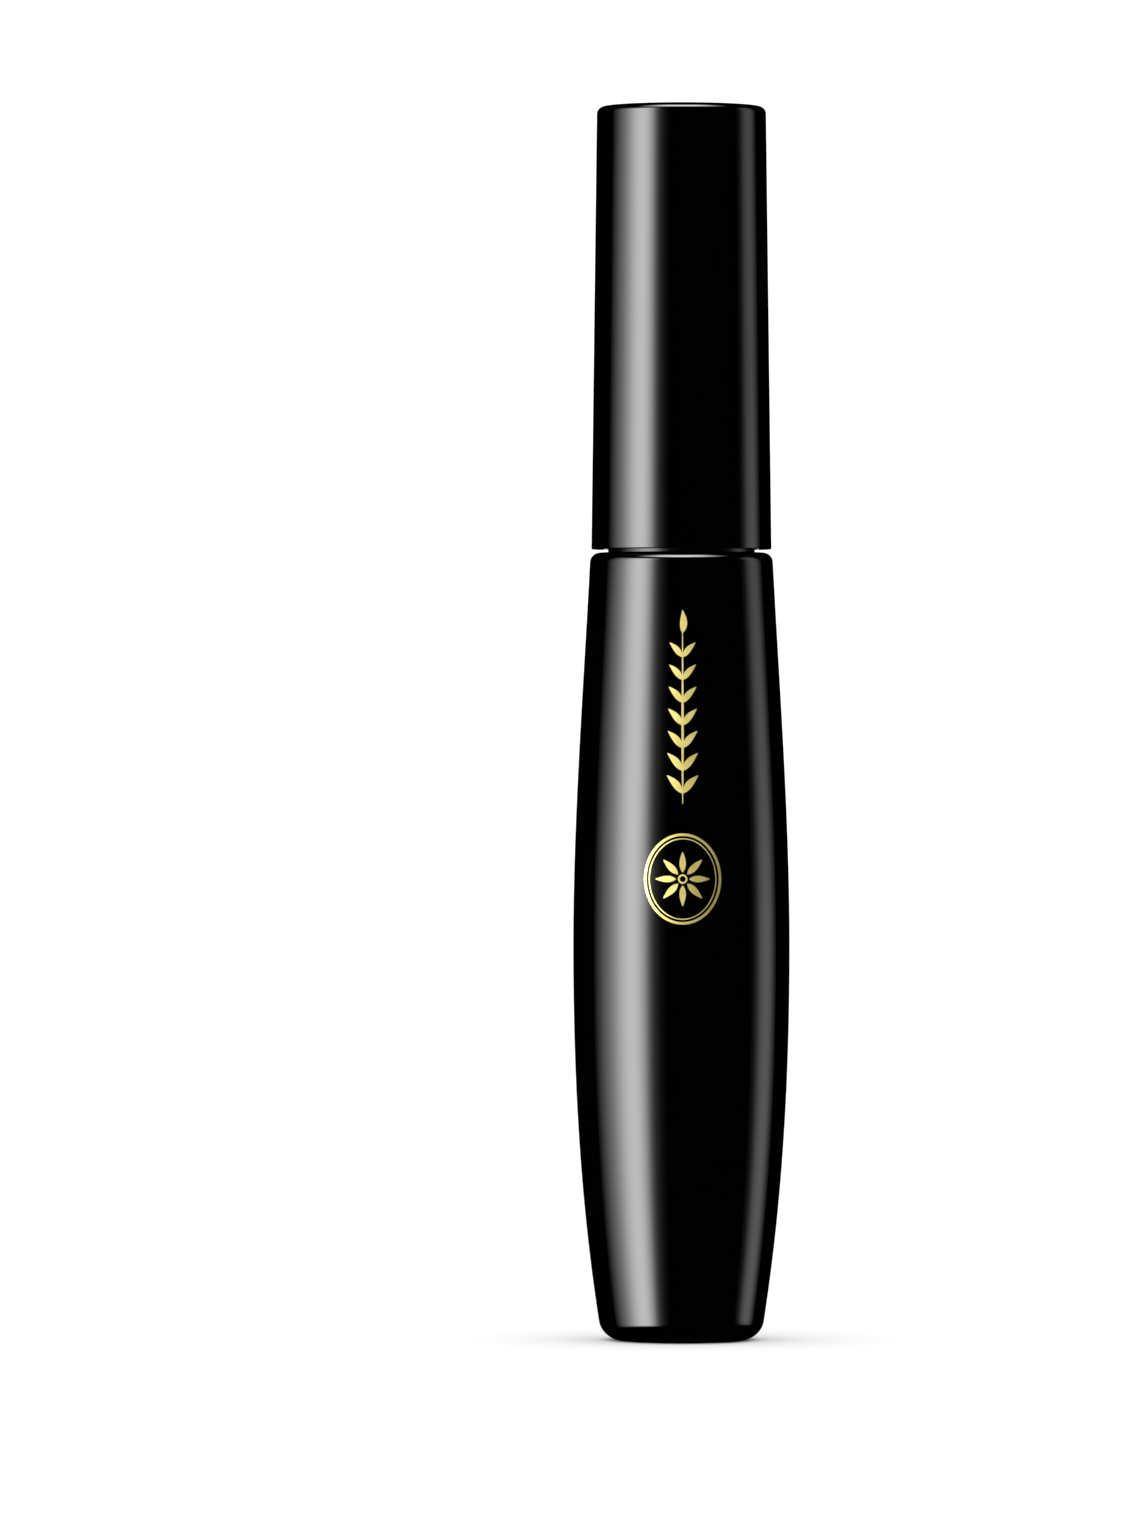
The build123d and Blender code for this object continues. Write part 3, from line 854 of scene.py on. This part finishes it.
liner = draw("cap_inner", [
    (liner_bore, skirt_base_z), (liner_radius, skirt_base_z), (liner_radius, web_top_z),
    (socket_radius, web_top_z), (socket_radius, socket_top_z), (STEM_RADIUS, socket_top_z),
    (STEM_RADIUS, web_base_z), (liner_bore, web_base_z), (liner_bore, skirt_base_z),
])
spin_round(liner)
round_corner(liner, (socket_radius, socket_top_z), 0.3, 4)
bpy.ops.object.mode_set(mode="OBJECT")
skirt_thread_z = thread_start_z + THREAD_PITCH / 2
skirt_crest = neck_radius + THREAD_DEPTH + THREAD_CLEARANCE
join_into(liner, thread_ridge("skirt_thread", liner_bore, skirt_crest, skirt_thread_z))
finish_piece(liner, "applicator", liner_plastic, ["cap_liner"], soften=0.08)

# %% [markdown]
# ## Wiper and washer
# The wiper is a soft sleeve pressed into the neck. Its flange lies on the rim, and its cone ends in a thin
# lip that scrapes the wand. The washer is a flat ring under the web of the cap. Both are closed outlines,
# with wide soft bevels, because rubber and foam have no crisp corners.

# %% Wiper sleeve
WIPER_WALL = 0.6
WIPER_TUBE = 6.5
WIPER_CONE = 3.5
LIP_WALL = 0.3
LIP_CLEARANCE = 0.1
wiper_outer = neck_bore - CLOSE_FIT
wiper_inner = wiper_outer - WIPER_WALL
lip_radius = STEM_RADIUS + LIP_CLEARANCE
lip_outer = lip_radius + LIP_WALL
tube_base_z = neck_top_z - WIPER_TUBE
cone_base_z = tube_base_z - WIPER_CONE

wiper = draw("neck_wiper", [
    (wiper_inner, wiper_top_z), (neck_radius, wiper_top_z), (neck_radius, neck_top_z),
    (wiper_outer, neck_top_z), (wiper_outer, tube_base_z), (lip_outer, cone_base_z),
    (lip_outer, wiper_lip_z), (lip_radius, wiper_lip_z), (lip_radius, cone_base_z),
    (wiper_inner, tube_base_z), (wiper_inner, wiper_top_z),
])
spin_round(wiper)
round_corner(wiper, (neck_radius, wiper_top_z), 0.2, 4)
round_corner(wiper, (wiper_inner, wiper_top_z), 0.25, 4)
finish_piece(wiper, "bottle", wiper_soft, ["wiper"], soften=0.08)

# %% [markdown]
# The washer's bore clears the wand. Its bevel is wide, as the edge of punched foam is.

# %% Foam washer
WASHER_CLEARANCE = 0.08
washer_bore = STEM_RADIUS + WASHER_CLEARANCE
washer = draw("foam_washer", [
    (washer_bore, gasket_base_z), (gasket_radius, gasket_base_z), (gasket_radius, gasket_top_z),
    (washer_bore, gasket_top_z), (washer_bore, gasket_base_z),
])
spin_round(washer)
finish_piece(washer, "seal", cell_foam, ["seal_gasket"], soften=0.12)

# %% [markdown]
# ## The mascara
# The filling is a thick cream. It climbs a little up the vial's wall and the wand, which the top of its
# outline follows, and the brush has worked a well in its middle. A displace modifier makes the wall of that
# well lumpy, with no effect on the outside, which takes the vial's shape.

# %% Mascara filling
CREAM_CLEARANCE = 0.25
WELL_BELLY = 4.8
WELL_ROOT = 3.65
FILLING_STEPS = 64
well_floor = brush_tip_z - CREAM_CLEARANCE
stem_well = STEM_RADIUS + CREAM_CLEARANCE

filling = draw("mascara_filling", [
    (0, vial_floor_z), (paste_radius, vial_floor_z), (paste_radius, paste_top_z),
    (paste_radius - 0.15, paste_top_z - 0.25), (paste_radius - 0.6, paste_top_z - 0.5),
    (stem_well + 0.7, paste_top_z - 0.55), (stem_well + 0.2, paste_top_z - 0.4),
    (stem_well, paste_top_z - 0.1), (stem_well, stem_tip_z), (WELL_ROOT, stem_tip_z - 0.3),
    (WELL_ROOT + 0.25, stem_tip_z - 3.0), (WELL_BELLY, stem_tip_z - 10.0), (WELL_BELLY, stem_tip_z - 17.0),
    (3.7, stem_tip_z - 24.0), (2.7, well_floor + 0.5), (2.4, well_floor), (0, well_floor),
])
spin_round(filling, steps=FILLING_STEPS)
print(filling.name, "drawn and spun")

# %% [markdown]
# The wall of the well needs more points before it can be lumpy, so its faces are picked and subdivided. Their
# points become a vertex group, which keeps the displacement off the outside.

# %% Lumps in the well
LUMP_SIZE = 1.6
LUMP_HEIGHT = 0.18
WELL_MARGIN = 0.3


def in_the_well(place):
    """True for places on the wall of the well."""
    inside = math.hypot(place.x, place.y) < (paste_radius - WELL_MARGIN) * MM
    return inside and (well_floor + 0.01) * MM < place.z < paste_top_z * MM


bpy.ops.mesh.select_mode(type="FACE")
pick(filling, "faces", in_the_well)
bpy.ops.mesh.subdivide(number_cuts=3, smoothness=0)
bpy.ops.mesh.select_mode(type="VERT")
pick(filling, "verts", in_the_well)
bpy.ops.object.vertex_group_add()
bpy.ops.object.vertex_group_assign()
lumps = filling.vertex_groups[0].name
bpy.ops.object.mode_set(mode="OBJECT")
clouds = bpy.data.textures.new("cream_lumps", "CLOUDS")
clouds.noise_scale = LUMP_SIZE * MM
apply_modifier(filling, "DISPLACE", texture=clouds, strength=LUMP_HEIGHT * MM, mid_level=0.5,
               vertex_group=lumps)
finish_piece(filling, "bottle", wet_mascara, ["mascara_paste"])

# %% [markdown]
# ## The wand
# The wand is a plain rod with a rounded end, a head above the socket and a blind hole for the brush.

# %% Wand
STEM_END_EDGE = 1.2
STEM_STEPS = 96
wire_hole = wire_radius + CLOSE_FIT

stem = draw("wand_stem", [
    (0, wire_root_z), (wire_hole, wire_root_z), (wire_hole, stem_tip_z), (STEM_RADIUS, stem_tip_z),
    (STEM_RADIUS, socket_top_z), (stem_head_radius, socket_top_z), (stem_head_radius, stem_top_z),
    (0, stem_top_z),
])
spin_round(stem, steps=STEM_STEPS)
round_corner(stem, (STEM_RADIUS, stem_tip_z), STEM_END_EDGE, 12)
round_corner(stem, (stem_head_radius, stem_top_z), 0.3, 4)
finish_piece(stem, "applicator", moulded_acetal, ["stem"], soften=0.03)

# %% [markdown]
# ## The brush's centre line
# The brush is made straight, as the real one is, and bent afterwards. Its centre line runs straight out of
# the wand, leans over to the bow and comes back towards the axis at the tip. The two bends are arcs, which a
# short function puts between the straight runs. The line becomes a curve for the curve modifier to follow.

# %% Centre line of the bowed brush
BEND_BELOW_STEM = 1.8
BOW_BELOW_STEM = 15.2
BOW = 1.75
TIP_BOW = 0.25
ROOT_BEND_RADIUS = 30.0
BOW_RADIUS = 41.0
ARC_STEPS = 24


def arc_at(before, corner, after, radius):
    """Points of an arc that touches both runs at a corner."""
    before, corner, after = Vector(before), Vector(corner), Vector(after)
    back = (before - corner).normalized()
    ahead = (after - corner).normalized()
    half = back.angle(ahead) / 2
    middle = corner + (back + ahead).normalized() * radius / math.sin(half)
    start = corner + back * radius / math.tan(half) - middle
    finish = corner + ahead * radius / math.tan(half) - middle
    sweep = start.angle_signed(finish)
    return [middle + Matrix.Rotation(-sweep * step / ARC_STEPS, 2) @ start for step in range(ARC_STEPS + 1)]


# %% [markdown]
# The runs and arcs are put together, measured and made a curve. The curve has to start inside the wand,
# because the pieces are bent from there, so its direction is switched when it starts at the tip.

# %% The line as a curve
root = (0, wire_root_z)
bend = (0, stem_tip_z - BEND_BELOW_STEM)
bow = (-BOW, stem_tip_z - BOW_BELOW_STEM)
tip = (-TIP_BOW, brush_tip_z)
first_arc = arc_at(root, bend, bow, ROOT_BEND_RADIUS)
second_arc = arc_at(bend, bow, tip, BOW_RADIUS)
route = [Vector(root), *first_arc, *second_arc, Vector(tip)]
brush_length = sum((there - here).length for here, there in zip(route, route[1:]))
brush_line = draw("brush_centre_line", [tuple(point) for point in route])
bpy.ops.object.mode_set(mode="OBJECT")
bpy.ops.object.convert(target="CURVE")
line_start = brush_line.data.splines[0].points[0].co
if line_start.z < stem_tip_z * MM:
    bpy.ops.object.mode_set(mode="EDIT")
    bpy.ops.curve.select_all(action="SELECT")
    bpy.ops.curve.switch_direction()
    bpy.ops.object.mode_set(mode="OBJECT")
print("brush and its grip are", round(brush_length, 2), "mm long")


def bend_along_line(piece):
    """Bends a piece that was made straight along Z onto the centre line."""
    apply_modifier(piece, "CURVE", object=brush_line, deform_axis="POS_Z")


# %% [markdown]
# ## The twisted wire
# The core is one wire folded in half and twisted, so there are two strands side by side and a round fold at
# the tip. A strand is a ring drawn square to its own direction, and the screw modifier carries it round and
# along. The ring is tilted by the lead angle of the twist, which keeps the strand round.

# %% One strand
STRAND_RADIUS = 0.3
STRAND_SIDES = 12
TWIST_TURNS = 14
TWIST_STEPS = 14
fold_z = brush_length - 2 * STRAND_RADIUS
twist_pitch = fold_z / TWIST_TURNS
lead = math.atan(math.tau * STRAND_RADIUS / twist_pitch)
print("one turn of the twist is", round(twist_pitch, 2), "mm long")


def strand_ring(height, tilt):
    """An open ring round one strand, beside the Z axis, in edit mode."""
    bpy.ops.object.select_all(action="DESELECT")
    bpy.ops.mesh.primitive_circle_add(vertices=STRAND_SIDES, radius=STRAND_RADIUS * MM, fill_type="NOTHING",
                                      location=(STRAND_RADIUS * MM, 0, height * MM), rotation=(tilt, 0, 0))
    bpy.ops.object.transform_apply(location=True, rotation=True, scale=True)
    bpy.ops.object.mode_set(mode="EDIT")
    return bpy.context.object


def close_ends(piece):
    """Closes the open ends of a tube and points its faces outwards."""
    bpy.ops.object.mode_set(mode="EDIT")
    bpy.ops.mesh.select_all(action="SELECT")
    bpy.ops.mesh.fill_holes(sides=0)
    bpy.ops.mesh.select_all(action="SELECT")
    bpy.ops.mesh.normals_make_consistent(inside=False)
    bpy.ops.object.mode_set(mode="OBJECT")


def wire_strand(turned_by):
    """One strand of the twisted pair, made straight along Z."""
    strand = strand_ring(0, lead)
    bpy.ops.object.mode_set(mode="OBJECT")
    apply_modifier(strand, "SCREW", axis="Z", angle=-math.tau, iterations=TWIST_TURNS,
                   screw_offset=twist_pitch * MM, steps=TWIST_STEPS, render_steps=TWIST_STEPS)
    strand.data.transform(Matrix.Rotation(turned_by, 4, "Z"))
    close_ends(strand)
    return strand


# %% [markdown]
# Two strands are made, half a turn apart. The ring spun over the top by half a turn is the fold, the round
# knob at the end of the brush. Then all three are bent along the centre line together.

# %% Two strands and the fold
wire = wire_strand(0.0)
wire.name = wire.data.name = "brush_twisted_wire"
join_into(wire, wire_strand(math.pi))
fold = strand_ring(fold_z, 0.0)
bpy.ops.mesh.spin(steps=STRAND_SIDES, angle=math.pi, center=(0, 0, fold_z * MM), axis=(0, 1, 0))
bpy.ops.object.mode_set(mode="OBJECT")
close_ends(fold)
join_into(wire, fold)
bend_along_line(wire)
finish_piece(wire, "applicator", lacquered_wire, ["brush_wire"])

# %% [markdown]
# ## The fibres
# The nylon fibres are laid across between the strands, and the twist turns them into a spiral. One fibre is
# modelled: a five-sided tube in two segments, each a little thinner than the one before and bent a little
# towards the tip. It is copied for every fibre, with its own seeded length, lean and turn. It is 0.14 mm
# thick, which is a little more than a real one, so that it shows.

# %% One fibre
FIBRE_RADIUS = 0.07
FIBRE_SIDES = 5
FIBRE_SEGMENTS = ((0.6, 0.02, 0.95), (0.4, 0.07, 0.8))

bpy.ops.object.select_all(action="DESELECT")
bpy.ops.mesh.primitive_circle_add(vertices=FIBRE_SIDES, radius=FIBRE_RADIUS * MM, fill_type="NGON",
                                  location=(0, 0, 0), rotation=(0, math.pi / 2, 0))
bpy.ops.object.transform_apply(location=True, rotation=True, scale=True)
fibre = bpy.context.object
fibre.name = "one_fibre"
bpy.ops.object.mode_set(mode="EDIT")
for reach, bent, size in FIBRE_SEGMENTS:
    bpy.ops.mesh.extrude_region_move(TRANSFORM_OT_translate={"value": (reach * MM, 0, bent * MM)})
    bpy.ops.transform.resize(value=(1, size, size))
bpy.ops.mesh.select_all(action="SELECT")
bpy.ops.mesh.normals_make_consistent(inside=False)
bpy.ops.object.mode_set(mode="OBJECT")
print("one fibre", count(fibre), "triangles, one millimetre long")

# %% [markdown]
# The fibres follow the twist, so the brush has two spiral ramps that look like rows of fins from the side.
# The long fibres crowd into four ranks to a turn, whose tips draw closer still, and each rank parts into
# locks that share one lean. Short fibres between the ranks fill the core. Near the wand the brush is widest
# and its fibres lean towards the tip on the +X side, and at the tip they are short and lean a little on the
# other.

# %% How the fibres are laid
FIBRES = 2900
LOCK = 17
RANK = math.tau / 4
CROWDING = 0.6
TIP_CROWDING = 0.5
BARE_WIRE = 0.75
BARE_TIP = 1.1
ROOT_LENGTH = 3.5
MIDDLE_LENGTH = 3.05
TIP_LENGTH = 2.2
LENGTHS = (1.0, 0.96, 0.86, 0.7, 0.45, 0.35)
LENGTH_ODDS = (5, 4, 3, 2, 8, 7)
LENGTH_SPREAD = 0.02
MEAN_LEAN = 11
LEAN_SWING_ROOT = -15
LEAN_SWING_TIP = 5
LEAN_SPREAD = 2
LOCK_LEAN_SPREAD = 3.5
LOCK_TURN_SPREAD = 7
ROLL = 1.6
first_fibre = wire_root_z - stem_tip_z + BARE_WIRE
last_fibre = brush_length - BARE_TIP
dice = random.Random(38)
print("fibres on", round(last_fibre - first_fibre, 2), "mm of wire")

# %% [markdown]
# One function gives each end of a fibre its place. The order in which it draws its random numbers matters:
# the same seed then gives the same brush every time.

# %% Where a fibre goes


def brush_reach(share):
    """Radius of the brush at a share of the way from the wand to the tip."""
    if share < 0.5:
        return blend_between(ROOT_LENGTH, MIDDLE_LENGTH, share * 2)
    return blend_between(MIDDLE_LENGTH, TIP_LENGTH, share * 2 - 1)


def fibre_place(index, end, lock_lean, lock_turn):
    """Where one end of a fibre goes: its height on the wire, way round, lean, roll and length."""
    share = index / (FIBRES - 1)
    along = blend_between(first_fibre, last_fibre, share)
    turn = math.tau * along / twist_pitch
    size = dice.choices(LENGTHS, LENGTH_ODDS)[0] + dice.gauss(0, LENGTH_SPREAD)
    length = brush_reach(share) * size
    off_rank = turn - RANK * round(turn / RANK) if size > 0.5 else 0.0
    around = math.pi / 2 + end * math.pi - turn + CROWDING * off_rank + lock_turn
    swing = blend_between(LEAN_SWING_ROOT, LEAN_SWING_TIP, share) * math.cos(around)
    lean = math.radians(MEAN_LEAN + swing + dice.gauss(0, LEAN_SPREAD)) + lock_lean
    lean -= math.atan(TIP_CROWDING * off_rank / math.tau * twist_pitch / length)
    return (Matrix.Translation((0, 0, along * MM)) @ Matrix.Rotation(around, 4, "Z")
            @ Matrix.Rotation(-lean, 4, "Y") @ Matrix.Rotation(dice.uniform(-ROLL, ROLL), 4, "X")
            @ Matrix.Diagonal((length, 1, 1, 1)))


# %% [markdown]
# Every fibre gets its own copy of the mesh, moved to its place. The straight brush is then bent along the
# centre line, as the wire was.

# %% Lay the fibres and bend the brush
brush_mesh = bmesh.new()
for end in (0, 1):
    for index in range(FIBRES):
        if index % LOCK == 0:
            lock_lean = math.radians(dice.gauss(0, LOCK_LEAN_SPREAD))
            lock_turn = math.radians(dice.gauss(0, LOCK_TURN_SPREAD))
        copy = fibre.data.copy()
        copy.transform(fibre_place(index, end, lock_lean, lock_turn))
        brush_mesh.from_mesh(copy)
        bpy.data.meshes.remove(copy)
bristles = bpy.data.objects.new("brush_fibres", bpy.data.meshes.new("brush_fibres"))
brush_mesh.to_mesh(bristles.data)
brush_mesh.free()
bpy.context.scene.collection.objects.link(bristles)
bpy.data.objects.remove(fibre)
only(bristles)
bend_along_line(bristles)
finish_piece(bristles, "applicator", drawn_nylon, ["bristles"])
bpy.data.objects.remove(brush_line)
low, high = Vector(bristles.bound_box[0]), Vector(bristles.bound_box[6])
print("fibres span", [round(v / MM, 2) for v in (*low, *high)])

# %% [markdown]
# ## The gold decoration
# Two ornaments are stamped on the front of the barrel: an upright sprig of leaves above, and an oval
# medallion with a flower below. Both are drawn flat from two shapes, a leaf and a band. They are then
# projected straight back onto the barrel and given the thickness of the foil, drawn a little raised.

# %% A leaf and a band, drawn flat
LEAF_ROWS = 8


def flat_leaf(length, width, curl=0.0):
    """A pointed leaf from the origin along +Y, in millimetres, as an object in the XY plane."""
    bpy.ops.object.select_all(action="DESELECT")
    bpy.ops.mesh.primitive_grid_add(x_subdivisions=2, y_subdivisions=LEAF_ROWS, size=1, location=(0, 0, 0))
    leaf = bpy.context.object
    bpy.ops.object.mode_set(mode="EDIT")
    for row in range(LEAF_ROWS + 1):
        share = row / LEAF_ROWS
        across = width * math.sin(math.pi * share ** 0.8) + 0.06
        pick(leaf, "verts", lambda place: abs(place.y + 0.5 - share) < 0.02)
        bpy.ops.transform.resize(value=(across, 1, 1), center_override=(0, 0, 0))
        bpy.ops.transform.translate(value=(curl * math.sin(math.pi * share), 0, 0))
    bpy.ops.mesh.select_all(action="SELECT")
    bpy.ops.transform.resize(value=(1, length, 1), center_override=(0, -0.5, 0))
    bpy.ops.transform.translate(value=(0, 0.5, 0))
    bpy.ops.object.mode_set(mode="OBJECT")
    leaf.data.transform(Matrix.Scale(MM, 4))
    return leaf


def flat_oval_band(half_width, half_height, stroke, steps=72):
    """An oval ring of that stroke, in millimetres, in the XY plane."""
    bpy.ops.object.select_all(action="DESELECT")
    bpy.ops.mesh.primitive_circle_add(vertices=steps, radius=1, fill_type="NOTHING", location=(0, 0, 0))
    band = bpy.context.object
    bpy.ops.object.mode_set(mode="EDIT")
    bpy.ops.transform.resize(value=(half_width, half_height, 1))
    bpy.ops.mesh.extrude_region_move()
    inner = (1 - stroke / half_width, 1 - stroke / half_height, 1)
    bpy.ops.transform.resize(value=inner)
    bpy.ops.object.mode_set(mode="OBJECT")
    band.data.transform(Matrix.Scale(MM, 4))
    return band


# %% [markdown]
# A flat shape is copied to each of its places. Then all shapes of an ornament are joined, stood up in front
# of the barrel, pressed back onto it with a shrinkwrap modifier and given their thickness.

# %% Copy a shape and stamp an ornament
FOIL_LIFT = 0.01
FOIL_THICKNESS = 0.02
IN_FRONT = 30.0


def put(shape, x, y, turn=0.0, size=1.0):
    """A copy of a flat shape with its own mesh, turned by degrees and moved to its place in millimetres."""
    copy = shape.copy()
    copy.data = shape.data.copy()
    bpy.context.scene.collection.objects.link(copy)
    copy.data.transform(Matrix.Translation((x * MM, y * MM, 0)) @ Matrix.Rotation(math.radians(turn), 4, "Z")
                        @ Matrix.Scale(size, 4))
    return copy


def stamp(name, shapes, start_z):
    """Joins flat shapes, stands them up in front of the barrel and stamps them onto it."""
    bpy.ops.object.select_all(action="DESELECT")
    for shape in shapes:
        shape.select_set(True)
    foil = shapes[0]
    bpy.context.view_layer.objects.active = foil
    bpy.ops.object.join()
    foil.name = foil.data.name = name
    foil.data.transform(Matrix.Translation((0, -IN_FRONT * MM, start_z * MM))
                        @ Matrix.Rotation(math.pi / 2, 4, "X"))
    apply_modifier(foil, "SHRINKWRAP", target=bottle, wrap_method="PROJECT", use_project_y=True,
                   use_positive_direction=True, use_negative_direction=False, offset=FOIL_LIFT * MM)
    bpy.ops.object.mode_set(mode="EDIT")
    bpy.ops.mesh.select_all(action="SELECT")
    bpy.ops.mesh.normals_make_consistent(inside=False)
    bpy.ops.object.mode_set(mode="OBJECT")
    apply_modifier(foil, "SOLIDIFY", thickness=FOIL_THICKNESS * MM, offset=1.0)
    finish_piece(foil, "bottle", gold_foil)


# %% [markdown]
# The sprig is a thin stalk with seven pairs of leaves that shrink towards the top, and one leaf at its end.

# %% Sprig
SPRIG_LOW = 50.5
SPRIG_HIGH = 68.5
PAIRS = 7
LEAF_LENGTH = 2.15
LEAF_WIDTH = 0.62
LEAF_TURN = 40
STALK_WIDTH = 0.16
TOP_LEAF_SIZE = 0.78

sprig_height = SPRIG_HIGH - SPRIG_LOW
leaf = flat_leaf(LEAF_LENGTH, LEAF_WIDTH, curl=0.1)
mirrored = put(leaf, 0, 0)
mirrored.data.transform(Matrix.Scale(-1, 4, (1, 0, 0)))
stalk = flat_leaf(sprig_height - 2.0, STALK_WIDTH)
shapes = [stalk]
for pair in range(PAIRS):
    share = pair / PAIRS
    height = 1.0 + share * (sprig_height - 3.2)
    size = blend_between(1.0, TOP_LEAF_SIZE, share)
    shapes.append(put(leaf, -0.06, height, LEAF_TURN, size))
    shapes.append(put(mirrored, 0.06, height, -LEAF_TURN, size))
shapes.append(put(leaf, 0, sprig_height - 2.1, 0))
bpy.data.objects.remove(leaf)
bpy.data.objects.remove(mirrored)
stamp("foil_sprig", shapes, SPRIG_LOW)

# %% [markdown]
# The medallion is a bold oval line, a fine one inside it, and a flower of eight petals round a small ring.

# %% Medallion
MEDALLION_MIDDLE = 43.5
PETALS = 8
PETAL_START = 0.62

petal = flat_leaf(1.9, 0.55)
bold_line = flat_oval_band(3.6, 4.25, 0.24)
fine_line = flat_oval_band(3.15, 3.8, 0.1)
middle_ring = flat_oval_band(0.45, 0.45, 0.18, 32)
shapes = [bold_line, fine_line, middle_ring]
for number in range(PETALS):
    turn = 360 * number / PETALS
    way = math.radians(turn + 90)
    shapes.append(put(petal, PETAL_START * math.cos(way), PETAL_START * math.sin(way), turn))
bpy.data.objects.remove(petal)
stamp("foil_medallion", shapes, MEDALLION_MIDDLE)

# %% [markdown]
# ## The end
# The box of the whole object is printed beside the box of the frame, so that the two can be compared.

# %% Print the sizes
size = {"cad": [list(corner) for corner in cad_box], "visual": [list(corner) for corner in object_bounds()]}
print("boxes in metres", size)
